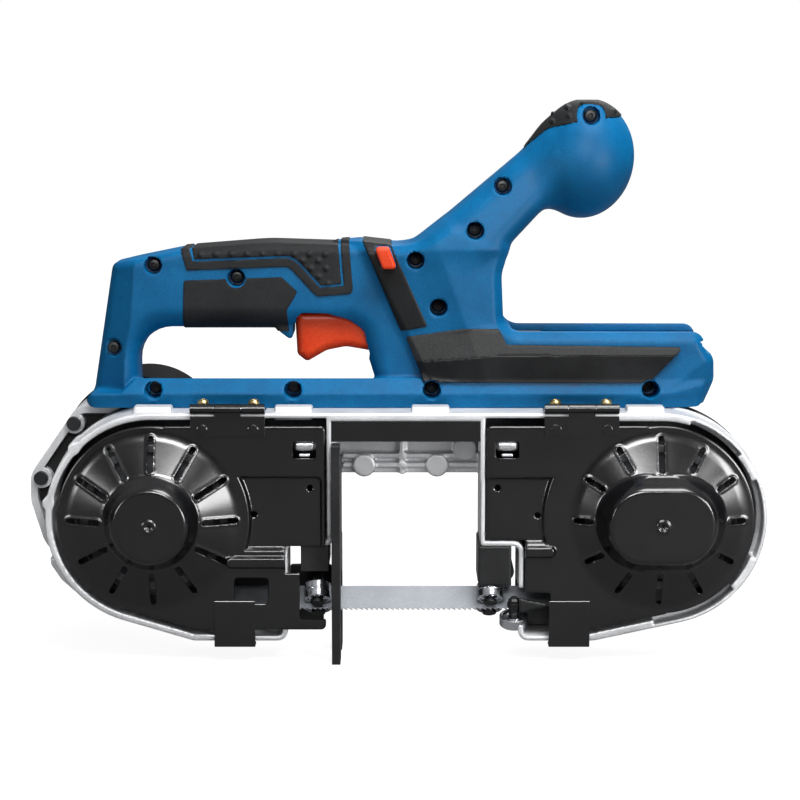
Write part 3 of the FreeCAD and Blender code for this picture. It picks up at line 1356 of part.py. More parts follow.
# Hinges: a steel butt hinge on top of each wheel end; the guards swing up and forward on them.
hinge_shares = {"left": -0.2208, "right": 0.2480}
hinge_z = tray_top_z + size("knuckle_radius") + size("moving_gap")
hinge_y = guard_y - size("sheet") / 2
middle_share = 0.36
rivet_place_share = 1.4
rivet_z = tray_top_z - size("leaf_drop") + size("rivet_radius") * rivet_place_share
fixed_leaves = []
hinge_pins = []
catch_shares = {"left": -0.2142, "right": 0.2342}
half_hinge = size("hinge_length") / 2
half_middle = size("hinge_length") * middle_share / 2
knuckle_gap = size("moving_gap") / 2
leaf_y = guard_y - size("sheet")
leaf_top_z = tray_top_z + size("sheet")
catch_low_z = size("foot_height") - size("sheet") * 2
half_catch = size("catch_length") / 2
for side, share in hinge_shares.items():
    middle = along(share)
    x_from = middle - half_hinge
    x_to = middle + half_hinge
    # the fixed leaf lies on the tray and carries the two outer knuckles
    leaf_parts = [bound_box("leaf", x_from, x_to, rim_y, rim_y + size("leaf_depth"), tray_top_z,
                            leaf_top_z)]
    for start, end in ((x_from, middle - half_middle - knuckle_gap), (middle + half_middle + knuckle_gap,
                                                                      x_to)):
        leaf_parts.append(bound_rod("knuckle", size("knuckle_radius"), start, hinge_y, hinge_z,
                                    end - start, along_x_axis))
        leaf_parts.append(bound_box("knuckle_root", start, end, hinge_y, rim_y, tray_top_z, leaf_top_z))
        leaf_parts.append(bound_box("knuckle_web", start, end, hinge_y, hinge_y + size("sheet"),
                                    tray_top_z, hinge_z))
    pin_bore = bound_rod("pin_bore", size("hinge_pin_radius") + size("fit_gap"), x_from, hinge_y, hinge_z,
                         size("hinge_length"), along_x_axis)
    holes = [pin_bore]
    for way in (-1, 1):
        screw_x = middle + size("hinge_screw_pitch") / 2 * way
        screw_y = rim_y + size("leaf_depth") / 2
        low_z = tray_top_z - size("tray_wall")
        holes.append(bound_rod("leaf_hole", size("pin_radius") + size("fit_gap"), screw_x, screw_y,
                               tray_top_z,
                               size("sheet"), Vector(0, 0, 1)))
        m3_holes.append(Part.makeCylinder(float(size("pin_radius") + size("fit_gap")),
                                          float(leaf_top_z - low_z),
                                          vector(screw_x, screw_y, low_z)))
        m3_screw(screw_x, screw_y, leaf_top_z, leaf_top_z - low_z, Vector(0, 0, -1))
    fixed_leaves.append(bound_cut(f"fixed_leaf_{side}", bound_join("fixed_leaf_blank", leaf_parts), holes))
    hinge_pins.append(bound_rod("hinge_pin", size("hinge_pin_radius"), x_from, hinge_y, hinge_z,
                                size("hinge_length"),
                                along_x_axis))
    # the moving leaf hangs before the guard, with two studs riveted through it
    leaf_parts = [bound_box("leaf", x_from, x_to, leaf_y, guard_y, tray_top_z - size("leaf_drop"),
                            tray_top_z - size("sheet")),
                  bound_box("leaf_neck", middle - half_middle, middle + half_middle, leaf_y, guard_y,
                            tray_top_z - size("sheet"), hinge_z),
                  bound_rod("knuckle", size("knuckle_radius"), middle - half_middle, hinge_y, hinge_z,
                            half_middle * 2,
                            along_x_axis)]
    for way in (-1, 1):
        stud_x = middle + size("hinge_screw_pitch") / 2 * way
        stud_y = leaf_y - size("rivet_height")
        leaf_parts.append(bound_rod("stud_head", size("rivet_radius"), stud_x, stud_y, rivet_z,
                                    size("rivet_height")))
        leaf_parts.append(bound_rod("stud", size("pin_radius"), stud_x, leaf_y, rivet_z,
                                    guard_back_y - leaf_y))
        guard_solids[side] = guard_solids[side].cut(
            rod(size("pin_radius") + size("fit_gap"), stud_x, guard_y - size("sheet"), rim_y, rivet_z))
    moving_bore = bound_rod("moving_bore", size("hinge_pin_radius") + size("running_gap"), x_from, hinge_y,
                            hinge_z,
                            size("hinge_length"), along_x_axis)
    keep(f"hinge_leaf_{side}", bound_cut(f"hinge_leaf_{side}", bound_join("moving_leaf_blank", leaf_parts),
                                         [moving_bore]))
    # the spring catch snaps under the lower edge of the tray
    catch_x = along(catch_shares[side])
    keep(f"catch_{side}", bound_join(f"catch_{side}", [
        bound_box("catch_plate", catch_x - half_catch, catch_x + half_catch, leaf_y, guard_y, catch_low_z,
                  catch_low_z + size("catch_rise")),
        bound_box("catch_lip", catch_x - half_catch, catch_x + half_catch, leaf_y,
                  leaf_y + size("catch_reach"),
                  catch_low_z, catch_low_z + size("sheet"))]))
    feature(f"guard_{side}", guard_solids[side])
bound_group("hinge_fixed_leaves", fixed_leaves)
bound_group("hinge_pins", hinge_pins)

# Bridge guard: the black strip over the upper run of the blade, hung under the top wall of the tray.
strip_low_share = 0.400
strip_x = stop_x + size("running_gap")
strip_end_x = throat_right_x - size("running_gap")
strip_top_z = tray_top_z - size("tray_wall")
strip_back_y = rim_y + size("leaf_depth")
strip_screw_shares = (0.18, 0.82)
strip_screw_y = rim_y + size("leaf_depth") / 2
strip_low_z = strip_top_z - size("sheet")
strip_blank = bound_join("strip_blank", [
    bound_box("strip_face", strip_x, strip_end_x, rim_y, rim_y + size("sheet"), up(strip_low_share),
              strip_top_z),
    bound_box("strip_flange", strip_x, strip_end_x, rim_y, strip_back_y, strip_low_z, strip_top_z)])
strip_holes = []
strip_screw_length = size("sheet") + size("tray_wall") / 2
for share in strip_screw_shares:
    screw_x = strip_x + (strip_end_x - strip_x) * share
    strip_holes.append(bound_rod("strip_hole", size("pin_radius") + size("fit_gap"), screw_x,
                                 strip_screw_y, strip_low_z,
                                 size("sheet"), Vector(0, 0, 1)))
    m3_holes.append(Part.makeCylinder(float(size("pin_radius") + size("fit_gap")),
                                      float(strip_screw_length),
                                      vector(screw_x, strip_screw_y, strip_low_z)))
    m3_screw(screw_x, strip_screw_y, strip_low_z, strip_screw_length, Vector(0, 0, 1))
keep("bridge_guard", bound_cut("bridge_guard", strip_blank, strip_holes))
bound_group("m3_screws", m3_screws)
drilled = Part.makeCompound(m3_holes + stop_wall_holes + [lever_bolt_hole])
feature("frame_tray", tray_solid.cut(drilled))

# Housing: two glass-filled nylon shells, D-handle, body, battery arm, neck and knob,
# split on the mid-plane.
loop_shares = ((-0.413, 0.0089, 0), (-0.381, 0.4680, 0.0729), (-0.287, 0.5154, 0.4008),
               (-0.171, 0.5373, 0.7287), (0.022, 0.5218, 0.0729), (0.066, 0.0089, 0),
               (-0.016, 0.0089, 0), (-0.048, 0.2567, 0.0401), (-0.3475, 0.2567, 0.1130),
               (-0.3475, 0.0089, 0))
body_shares = ((0.06, 0.0089, 0), (-0.051, 0.5464, 0.0401), (0.022, 0.5227, 0.2004),
               (0.093, 0.6721, 0.0474), (0.156, 0.5373, 0.0474), (0.1437, 0.4352, 0.1093),
               (0.147, 0.2494, 0.0619), (0.41, 0.2476, 0.0401), (0.43, 0.1565, 0.0547),
               (0.432, 0.0891, 0.0547), (0.418, 0.0089, 0))
neck_shares = ((0.005, 0.3296, 0), (0.022, 0.5227, 0.2368), (0.218, 0.9308, 0.0619),
               (0.262, 0.7996, 0.0619), (0.1995, 0.6447, 0.0273), (0.156, 0.5336, 0.1366),
               (0.1437, 0.4352, 0), (0.145, 0.3296, 0))
lip_shares = ((-0.164, 0.2694, 0), (-0.1545, 0.2403, 0), (-0.1405, 0.2148, 0.0109), (-0.1355, 0.2367, 0),
              (-0.1355, 0.2931, 0), (-0.164, 0.2931, 0))
knob_share = 0.2560
screw_shares = ((-0.3238, 0.4635), (-0.2123, 0.4243), (-0.3806, 0.1911), (-0.324, 0.0581),
                (-0.1366, 0.0581), (0.05, 0.0581), (0.3437, 0.0618), (0.0284, 0.4826), (0.059, 0.3296),
                (0.1077, 0.5792), (0.1448, 0.7213), (0.2615, 0.9490))
bay_shares = (0.158, 0.2476)
base_ends_shares = (-0.4155, 0.418)
knob_x = along(knob_share)
knob_turn = math.radians(float(size("knob_lean")))
knob_top = math.hypot(float(size("knob_half_height")) * math.cos(knob_turn),
                      float(size("knob_half_length")) * math.sin(knob_turn))
knob_z = size("overall_height") - knob_top
base_z = tray_top_z


def slab(shares, half_width, inset=0.0, edge=None):
    """One block of the housing, on both sides of the mid-plane, with softened long edges."""
    corners = body_corners(shares)
    if inset:
        corners = inset_corners(corners, inset)
    half = float(half_width) - inset
    y_from = float(housing_y) - half
    solid = prism(corners, y_from, float(housing_y) + half)
    if edge is None:
        return solid
    floor = min(corner[1] for corner in corners)
    return softened(solid, y_from, float(housing_y) + half, float(edge) - inset, floor)


def knob(inset):
    """The ball-shaped front knob: an egg that leans forward."""
    across_half = float(size("knob_half_length")) - inset
    upright_half = float(size("knob_half_height")) - inset
    centre = vector(knob_x, housing_y, knob_z)
    ellipse = Part.Ellipse(centre + Vector(0, 0, upright_half), centre + Vector(across_half, 0, 0), centre)
    half_turn = math.pi
    arc = Part.Edge(ellipse, half_turn, half_turn * 2)
    side = Part.Wire([arc, Part.LineSegment(arc.Vertexes[-1].Point, arc.Vertexes[0].Point).toShape()])
    full_turn = 360
    egg = Part.Face(side).revolve(centre, Vector(0, 0, 1), full_turn)
    egg.rotate(centre, Vector(0, 1, 0), float(size("knob_lean")))
    return egg


def base_band(inset):
    """The base along the top of the tray, ridged along both sides."""
    x_from, x_to = [float(along(share)) for share in base_ends_shares]
    half = float(size("base_half_width")) - inset
    ridge_z = float(base_z + size("base_ridge"))
    top_z = float(base_z + size("base_rise"))
    side = [(half - float(size("base_taper")), float(base_z) + inset), (half, ridge_z),
            (half - float(size("base_chamfer")), top_z - inset)]
    points = [(float(housing_y) - y, z) for y, z in side] + [(float(housing_y) + y, z) for y,
                                                             z in side[::-1]]
    corners = [Vector(x_from + inset, y, z) for y, z in points]
    return Part.Face(Part.makePolygon(corners + corners[:1])).extrude(Vector(x_to - x_from - inset * 2, 0,
                                                                             0))


wall = float(size("housing_wall"))
skin = float(size("skin_depth"))
loop_outer = slab(loop_shares, size("handle_half_width"), edge=size("handle_edge"))
knob_outer = knob(0.0)
outer_blocks = [loop_outer, slab(body_shares, size("body_half_width"), edge=size("body_edge")),
                slab(neck_shares, size("neck_half_width"), edge=size("neck_edge")), base_band(0.0),
                slab(lip_shares, size("handle_half_width") - size("boss_wall"))]
housing_outer = fused(outer_blocks + [knob_outer])
# inside, the arm keeps a floor under the battery bay
bay_x, bay_z = along(bay_shares[0]), above(bay_shares[1])
bay_floor_z = bay_z - size("bay_depth")
far_end_x = size("overall_length") / 2
hollow_blocks = [slab(loop_shares, size("handle_half_width"), inset=wall),
                 slab(body_shares, size("body_half_width"), inset=wall).cut(
                     box(bay_x - size("housing_wall") * 2, far_end_x, housing_y - size("body_half_width"),
                         housing_y + size("body_half_width"), bay_floor_z - size("housing_wall"),
                         size("overall_height"))),
                 slab(neck_shares, size("neck_half_width"), inset=wall), base_band(wall), knob(wall)]


def bay_cut():
    """The battery bay on top of the arm, open towards +X, with lips over its slide grooves."""
    half = size("bay_half_width")
    lip_z = bay_z - size("bay_lip_height")
    wide = box(bay_x, far_end_x, housing_y - half, housing_y + half, bay_floor_z, lip_z)
    narrow_half = half - size("bay_lip")
    narrow = box(bay_x, far_end_x, housing_y - narrow_half, housing_y + narrow_half, bay_floor_z,
                 bay_z + half)
    return fused([wide, narrow])


# Trigger outline and its slot; it turns on a pin in the root of the handle.
trigger_shares = ((-0.1352, 0.2877, 0.0109), (-0.1322, 0.1656, 0.0200), (-0.119, 0.1401, 0.0164),
                  (-0.092, 0.1784, 0.0547), (-0.066, 0.1911, 0.0638), (-0.034, 0.1774, 0.0128),
                  (-0.0123, 0.2367, 0.0200), (-0.0123, 0.3033, 0.0200), (-0.06, 0.3101, 0.0547))
trigger_pin_shares = (-0.026, 0.2731)
trigger_x, trigger_z = [place(share) for place, share in zip((along, above), trigger_pin_shares)]
slot_shares = (-0.1372, -0.0055)
slot_from_x, slot_to_x = [along(share) for share in slot_shares]
slot_low_share = 0.1583
slot_half = size("trigger_half_width") + size("moving_gap")
trigger_slot = box(slot_from_x, slot_to_x, housing_y - slot_half, housing_y + slot_half, above(slot_low_share),
                   above(slot_low_share) + size("slot_height"))

# an arch in both flanks shows the root of the trigger
arch_shares = ((-0.1387, 0.2350, 0), (-0.1362, 0.2950, 0.0100), (-0.1264, 0.3150, 0.0200),
               (-0.0907, 0.3160, 0.0536), (-0.0604, 0.2866, 0.0670), (-0.0385, 0.2350, 0))
trigger_arch = prism(body_corners(arch_shares), housing_y - size("body_half_width"),
                     housing_y + size("body_half_width"))

# Lock-off button: a red bar across the body, pushed from either side.
button_shares = ((-0.025, 0.5245, 0.0073), (-0.0085, 0.5245, 0.0073), (0.002, 0.4607, 0.0073),
                 (-0.0142, 0.4607, 0.0073))
button_corners = body_corners(button_shares)
button_from_y = housing_y - size("body_half_width") - size("inlay_proud") - size("button_proud")
button_to_y = housing_y + size("body_half_width") + size("inlay_proud") + size("button_proud")
button_hole = prism(inset_corners(button_corners, -float(size("moving_gap"))),
                    button_from_y - size("housing_wall"),
                    button_to_y + size("housing_wall"))

# Inlays: a slanted trim band and a lower panel of black plastic on each side of the body.
band_shares = ((-0.0455, 0.5363, 0.0073), (-0.009, 0.5363, 0.0073), (0.0445, 0.2676, 0.0073),
               (0.0085, 0.2494, 0.0073))
panel_shares = ((0.0225, 0.2312, 0.0109), (0.069, 0.2585, 0.0219), (0.1395, 0.2612, 0.0219),
                (0.1505, 0.2093, 0.0219), (0.391, 0.2020, 0.0146), (0.348, 0.1037, 0.0182),
                (0.052, 0.1037, 0.0146))


def inlays(shares):
    """The near and the far copy of an inlay."""
    half = size("body_half_width")
    near = prism(body_corners(shares), housing_y - half - size("inlay_proud"),
                 housing_y - half + size("inlay_depth"))
    far = prism(body_corners(shares), housing_y + half - size("inlay_depth"),
                housing_y + half + size("inlay_proud"))
    return [near, far]


band_solids = inlays(band_shares)
panel_solids = inlays(panel_shares)

# Soft grips: black elastomer skins moulded on the handle and on top of the knob.
grip_top_shares = ((-0.297, 0.5992, 0), (-0.2787, 0.4480, 0.0109), (-0.1415, 0.4607, 0.0364),
                   (-0.1044, 0.3624, 0.0219), (-0.0552, 0.3715, 0.0182), (-0.0628, 0.5992, 0))
grip_low_shares = ((-0.2828, 0.4152, 0.0146), (-0.1402, 0.4279, 0.0146), (-0.1325, 0.3851, 0.0146),
                   (-0.1445, 0.3195, 0.0219), (-0.142, 0.1984, 0), (-0.2863, 0.1984, 0))
cap_shares = ((0.15, 0.7960, 0), (0.205, 0.9089, 0.0364), (0.245, 0.9326, 0.0364), (0.32, 0.9508, 0),
              (0.34, 1.0911, 0), (0.15, 1.0911, 0))
loop_core = slab(loop_shares, size("handle_half_width"), inset=skin, edge=size("handle_edge"))
full_from = housing_y - size("body_half_width") * 2
full_to = housing_y + size("body_half_width") * 2
loop_skin = loop_outer.cut(loop_core)
grip_top = loop_skin.common(prism(body_corners(grip_top_shares), full_from, full_to))
grip_low = loop_skin.common(prism(body_corners(grip_low_shares), full_from, full_to))
grip_low = grip_low.cut(trigger_slot).cut(trigger_arch)
knob_cap = knob_outer.cut(knob(skin)).common(prism(body_corners(cap_shares), full_from, full_to))

# Screw bosses run right through both shells; the screws go in from the near side.
boss_columns = [rod(size("boss_radius"), along(x), full_from, full_to, above(z)) for x, z in screw_shares]
pin_boss_radius = size("pin_radius") * 2
pin_bosses = [rod(pin_boss_radius, trigger_x, housing_y - size("handle_half_width") + size("skin_depth"),
                  housing_y - slot_half, trigger_z),
              rod(pin_boss_radius, trigger_x, housing_y + slot_half,
                  housing_y + size("handle_half_width") - size("skin_depth"), trigger_z)]
seat_y = housing_y - size("screw_seat")
screw_holes = []
screws = []
for x_share, z_share in screw_shares:
    x, z = along(x_share), above(z_share)
    screw_holes.append(rod(size("recess_radius"), x, full_from, seat_y, z))
    screw_holes.append(rod(size("screw_radius") + size("fit_gap"), x, seat_y,
                           seat_y + size("screw_length"), z))
    screw_profile = headed_profile(size("screw_radius"), size("screw_length") - size("moving_gap"),
                                   size("screw_head_radius"), size("screw_head_height"))
    screws.append(turned("housing_screw", screw_profile, x, seat_y, z))

hollow = hollow_blocks[0].multiFuse(hollow_blocks[1:])
shell = housing_outer.cut(hollow)
columns = boss_columns[0].multiFuse(boss_columns[1:]).common(housing_outer)
shell = shell.fuse(columns)
shell = shell.cut(trigger_slot).cut(trigger_arch).cut(bay_cut()).cut(button_hole)
shell = shell.multiFuse(pin_bosses)
pin_hole = rod(size("pin_radius") + size("fit_gap"), trigger_x,
               housing_y - size("handle_half_width") + size("skin_depth"),
               housing_y + size("handle_half_width") - size("skin_depth"), trigger_z)
shell = shell.cut(pin_hole)
for tool in band_solids + panel_solids + [grip_top, grip_low, knob_cap] + screw_holes:
    shell = shell.cut(tool)
near_half = box(-far_end_x, far_end_x, full_from, housing_y, tray_top_z - size("tray_wall"),
                size("overall_height") * 2)
far_half = box(-far_end_x, far_end_x, housing_y, full_to, tray_top_z - size("tray_wall"),
               size("overall_height") * 2)


def largest(shape):
    """The main solid of a shape, without loose crumbs of cut bosses."""
    return max(shape.Solids, key=lambda solid: solid.Volume)


feature("housing_near", largest(shell.common(near_half)))
feature("housing_far", largest(shell.common(far_half)))
bound_group("housing_screws", screws)
recesses = Part.makeCompound(screw_holes[::2])
feature("soft_grips", Part.makeCompound([skin_part.cut(recesses) for skin_part in (grip_top, grip_low,
                                                                                   knob_cap)]))
feature("trim_bands", Part.makeCompound([solid.cut(button_hole) for solid in band_solids]))
panel_holes = [solid.cut(recesses) for solid in panel_solids]
feature("side_panels", Part.makeCompound(panel_holes))
feature("lock_button", prism(button_corners, button_from_y, button_to_y))

# Trigger: red plastic on its steel pin.
trigger = prism(body_corners(trigger_shares), housing_y - size("trigger_half_width"),
                housing_y + size("trigger_half_width"))
trigger = trigger.cut(rod(size("pin_radius") + size("running_gap"), trigger_x, full_from, full_to,
                          trigger_z))
feature("trigger", trigger)
pin_half = size("handle_half_width") - size("skin_depth")
keep("trigger_pin", bound_rod("trigger_pin", size("pin_radius"), trigger_x, housing_y - pin_half,
                              trigger_z, pin_half * 2))

# Switch: a sealed switch across the handle above the trigger, with its sprung plunger.
switch_shares = (-0.122, 0.3715)
plunger_share = -0.0885
switch_x, switch_z = along(switch_shares[0]), above(switch_shares[1])
plunger_x = along(plunger_share)
switch_half = size("handle_half_width") - size("housing_wall")
switch_case = bound_box("switch_case", switch_x, switch_x + size("switch_length"), housing_y - switch_half,
                        housing_y + switch_half, switch_z, switch_z + size("switch_height"))
plunger_bore = bound_rod("plunger_bore", size("plunger_radius") + size("running_gap"), plunger_x,
                         housing_y, switch_z,
                         size("plunger_depth"), Vector(0, 0, 1))
keep("switch_body", bound_cut("switch_body", switch_case, [plunger_bore]))
plunger_low_share = 0.3123
plunger_low_z = above(plunger_low_share)
keep("switch_plunger", bound_rod("switch_plunger", size("plunger_radius"), plunger_x, housing_y,
                                 plunger_low_z,
                                 switch_z + size("plunger_radius") - plunger_low_z, Vector(0, 0, 1)))

# Electronics: the potted control module on the inner wall of the body,
# the battery terminal block and its contacts.
module_shares = (0.067, 0.1219)
module_x, module_z = along(module_shares[0]), above(module_shares[1])
module_y = housing_y - size("body_half_width") + size("housing_wall")
keep("control_module", bound_box("control_module", module_x, module_x + size("board_length"), module_y,
                                 module_y + size("board_thickness"), module_z,
                                 module_z + size("board_height")))
keep("terminal_block", bound_box("terminal_block", bay_x, bay_x + size("terminal_length"),
                                 housing_y - size("terminal_half_width"),
                                 housing_y + size("terminal_half_width"),
                                 bay_floor_z, bay_floor_z + size("terminal_height")))
contact_count = 5
contact_x = bay_x + size("terminal_length")
contact_z = bay_floor_z + size("terminal_height") / 4
contacts = []
for number in range(contact_count):
    from_middle = number - contact_count // 2
    contact_y = housing_y + size("contact_pitch") * from_middle - size("contact_thickness") / 2
    contacts.append(bound_box("contact", contact_x, contact_x + size("contact_length"), contact_y,
                              contact_y + size("contact_thickness"), contact_z,
                              contact_z + size("contact_height")))
bound_group("battery_contacts", contacts)

document.recompute()
faults = []
for label, item in pieces.items():
    shape = item.Shape
    failed = "Invalid" in item.State or "Error" in item.State
    if failed or shape.isNull() or not shape.isValid() or not shape.Solids:
        faults.append((label, item.State, shape.isNull() or shape.isValid()))
if faults:
    raise RuntimeError(f"pieces that did not build: {faults}")
os.makedirs("parts", exist_ok=True)
for label, item in pieces.items():
    item.Shape.exportStep(f"parts/{label}.step")
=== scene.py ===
import json
import math
import bmesh
import bpy
import numpy as np
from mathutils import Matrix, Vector

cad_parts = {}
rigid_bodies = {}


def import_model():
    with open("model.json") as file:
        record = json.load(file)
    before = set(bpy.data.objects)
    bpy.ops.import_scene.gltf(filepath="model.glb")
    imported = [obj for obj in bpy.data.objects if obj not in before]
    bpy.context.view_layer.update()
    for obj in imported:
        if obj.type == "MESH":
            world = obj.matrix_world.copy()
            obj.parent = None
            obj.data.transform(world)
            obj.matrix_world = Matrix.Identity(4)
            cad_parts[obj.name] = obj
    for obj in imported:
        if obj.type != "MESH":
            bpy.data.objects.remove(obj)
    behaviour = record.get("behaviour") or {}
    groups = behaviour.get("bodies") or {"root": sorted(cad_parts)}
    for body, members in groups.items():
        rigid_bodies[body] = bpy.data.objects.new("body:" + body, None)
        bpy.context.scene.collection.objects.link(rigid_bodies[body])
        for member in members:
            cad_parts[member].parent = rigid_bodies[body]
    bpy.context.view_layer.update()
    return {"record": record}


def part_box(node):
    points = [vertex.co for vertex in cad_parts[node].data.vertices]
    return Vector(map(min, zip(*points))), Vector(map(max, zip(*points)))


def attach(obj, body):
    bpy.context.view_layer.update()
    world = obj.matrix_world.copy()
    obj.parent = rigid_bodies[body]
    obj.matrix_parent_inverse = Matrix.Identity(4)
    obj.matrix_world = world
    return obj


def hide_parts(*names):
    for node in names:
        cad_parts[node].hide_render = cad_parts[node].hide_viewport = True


# The compact band saw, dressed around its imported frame. Sizes below are in millimetres in the frame's
# own axes: +X from the driven wheel to the tensioned wheel, +Y away from the guards, +Z up.
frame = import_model()


# Frame tray: a die-cast aluminium tray around both wheels, with a bridge over the throat.
# Its rim is fine-blasted and left bare, its back wall is ribbed and its top carries the plastic body.
MM = 0.001


def centre_of(node):
    """The middle of a node's box, in millimetres."""
    low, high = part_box(node)
    return [(a + b) / 2 / MM for a, b in zip(low, high)]


def span_of(node):
    """The low and the high corner of a node's box, in millimetres."""
    return [[value / MM for value in corner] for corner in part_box(node)]


drive_x, wheel_mid_y, axis_z = centre_of("drive_wheel")
idler_x = centre_of("idler_wheel")[0]
tray_low = span_of("frame_tray")[0]
rim_y = tray_low[1]
tray_back_y = span_of("gear_case")[0][1]
tray_wall = 4.0
tray_floor_y = tray_back_y - tray_wall
lobe_radius = 52.4
tray_top_z = axis_z + lobe_radius
throat_left_x = span_of("work_stop")[0][0]
throat_right_x = span_of("bridge_guard")[1][0]
step_left_x, step_right_x = -52.2, 60.5
foot_left_x, foot_right_x = -98.3, 97.6
foot_z, step_z, bridge_z = tray_low[2], 57.2, 88.0
throat_corner, step_corner, heel_corner, foot_corner = 2.0, 3.0, 5.0, 8.0


def rounded(corners, pieces=6):
    """Points of a closed outline; each corner (x, z, radius) is rounded by an arc."""
    points = []
    count = len(corners)
    for number, (x, z, radius) in enumerate(corners):
        here = np.array((x, z), float)
        if not radius:
            points.append(here)
            continue
        before = np.array(corners[number - 1][:2], float) - here
        after = np.array(corners[(number + 1) % count][:2], float) - here
        before /= np.linalg.norm(before)
        after /= np.linalg.norm(after)
        half = math.acos(np.clip(before @ after, -1, 1)) / 2
        bisector = (before + after) / np.linalg.norm(before + after)
        middle = here + bisector * radius / math.sin(half)
        start = here + before * radius / math.tan(half) - middle
        end = here + after * radius / math.tan(half) - middle
        turn = math.atan2(start[0] * end[1] - start[1] * end[0], start @ end)
        for step in range(pieces + 1):
            angle = turn * step / pieces
            c, s = math.cos(angle), math.sin(angle)
            points.append(middle + np.array((start[0] * c - start[1] * s, start[0] * s + start[1] * c)))
    return points


def outline_field(points, x, z):
    """Signed distance in the XZ plane to a closed outline, negative inside."""
    x, z = np.broadcast_arrays(x, z)
    nearest = np.full(x.shape, np.inf)
    inside = np.zeros(x.shape, bool)
    for (ax, az), (bx, bz) in zip(points, points[1:] + points[:1]):
        run, rise = bx - ax, bz - az
        length = run * run + rise * rise
        if length == 0:
            continue
        part = np.clip(((x - ax) * run + (z - az) * rise) / length, 0, 1)
        nearest = np.minimum(nearest, (x - ax - part * run) ** 2 + (z - az - part * rise) ** 2)
        if rise:
            inside ^= ((az > z) != (bz > z)) & (x < ax + run * (z - az) / rise)
    return np.where(inside, -1, 1) * np.sqrt(nearest)


def box_field(x, y, z, low, high):
    """Signed distance to an upright box."""
    gaps = [np.maximum(a - place, place - b) for place, a, b in zip((x, y, z), low, high)]
    outside = np.sqrt(sum(np.maximum(gap, 0) ** 2 for gap in gaps))
    return outside + np.minimum(np.maximum(np.maximum(gaps[0], gaps[1]), gaps[2]), 0)


def meet(first, second, edge):
    """Keeps what is in both fields, with the edge between them rounded."""
    over = np.sqrt(np.maximum(first + edge, 0) ** 2 + np.maximum(second + edge, 0) ** 2)
    return over + np.minimum(np.maximum(first, second), -edge)


def join(first, second, width):
    """Joins two fields with a fillet of about the given width."""
    part = np.clip(0.5 + 0.5 * (second - first) / width, 0, 1)
    return second * (1 - part) + first * part - width * part * (1 - part)


def crossing_places(grid, cells, corners):
    """Where a surface goes through each cell that it cuts, in shares of the cell."""
    values = np.stack([grid[cells[:, 0] + i, cells[:, 1] + j, cells[:, 2] + k] for i, j, k in corners], 1)
    spots = np.zeros((len(cells), 3))
    hits = np.zeros(len(cells))
    for a, corner in enumerate(corners):
        for axis in range(3):
            if corner[axis]:
                continue
            other = list(corner)
            other[axis] = 1
            b = corners.index(tuple(other))
            crosses = (values[:, a] < 0) != (values[:, b] < 0)
            gap = np.where(crosses, values[:, a] - values[:, b], 1)
            spot = np.tile(np.array(corner, float), (len(cells), 1))
            spot[:, axis] = values[:, a] / gap
            spots += spot * crosses[:, None]
            hits += crosses
    return spots / hits[:, None]


def net_faces(inside, index):
    """The faces of a surface net, one around each grid edge that the surface cuts."""
    faces = []
    for axis in range(3):
        across, along = [n for n in range(3) if n != axis]
        inner = [slice(1, -1)] * 3
        inner[axis] = slice(0, -1)
        shifted = list(inner)
        shifted[axis] = slice(1, None)
        edges = np.argwhere(inside[tuple(inner)] != inside[tuple(shifted)])
        edges[:, across] += 1
        edges[:, along] += 1
        ring = []
        for back_a, back_b in ((1, 1), (0, 1), (0, 0), (1, 0)):
            cell = edges.copy()
            cell[:, across] -= back_a
            cell[:, along] -= back_b
            ring.append(index[cell[:, 0], cell[:, 1], cell[:, 2]])
        quads = np.stack(ring, 1)
        flip = inside[edges[:, 0], edges[:, 1], edges[:, 2]] == (axis == 1)
        quads[flip] = quads[flip][:, ::-1]
        faces.append(quads)
    return np.concatenate(faces)


def shade(mesh, sharp_degrees):
    """Shades a mesh smoothly, except at edges that turn by more than an angle."""
    mesh.polygons.foreach_set("use_smooth", np.ones(len(mesh.polygons), bool))
    mesh.set_sharp_from_angle(angle=math.radians(sharp_degrees))


def mesh_of_field(name, field, low, high, step):
    """Turns a signed field in millimetres into a mesh in metres: surface nets, then drawn onto the field."""
    probe_share, least_slope, passes, sharp_degrees = 1 / 20, 0.25, 3, 40
    counts = [int(math.ceil((b - a) / step)) + 1 for a, b in zip(low, high)]
    axes = [a + step * np.arange(n) for a, n in zip(low, counts)]
    grid = field(axes[0][:, None, None], axes[1][None, :, None], axes[2][None, None, :])
    grid = np.broadcast_to(grid, counts).astype(np.float32)
    inside = grid < 0
    corners = [(i, j, k) for i in (0, 1) for j in (0, 1) for k in (0, 1)]
    total = np.zeros([n - 1 for n in counts], np.uint8)
    for i, j, k in corners:
        total += inside[i:counts[0] - 1 + i, j:counts[1] - 1 + j, k:counts[2] - 1 + k]
    mixed = (total > 0) & (total < len(corners))
    cells = np.argwhere(mixed)
    index = np.full(mixed.shape, -1, np.int64)
    index[mixed] = np.arange(len(cells))
    points = np.array(low) + (cells + crossing_places(grid, cells, corners)) * step
    faces = net_faces(inside, index)
    probe = step * probe_share
    for _ in range(passes):
        here = field(*points.T)
        slope = np.stack([(field(*(points + probe * np.eye(3)[n]).T) - here) / probe for n in range(3)], 1)
        move = here / np.maximum((slope ** 2).sum(1), least_slope)
        points -= slope * np.clip(move, -step, step)[:, None]
    mesh = bpy.data.meshes.new(name)
    mesh.from_pydata((points * MM).tolist(), [], faces.tolist())
    shade(mesh, sharp_degrees)
    mesh.update()
    return mesh


def linear(code):
    """The linear colour of an sRGB hex value."""
    parts = [int(code[place:place + 2], 16) / 255 for place in (1, 3, 5)]
    return [part / 12.92 if part <= 0.04045 else ((part + 0.055) / 1.055) ** 2.4 for part in parts] + [1.0]


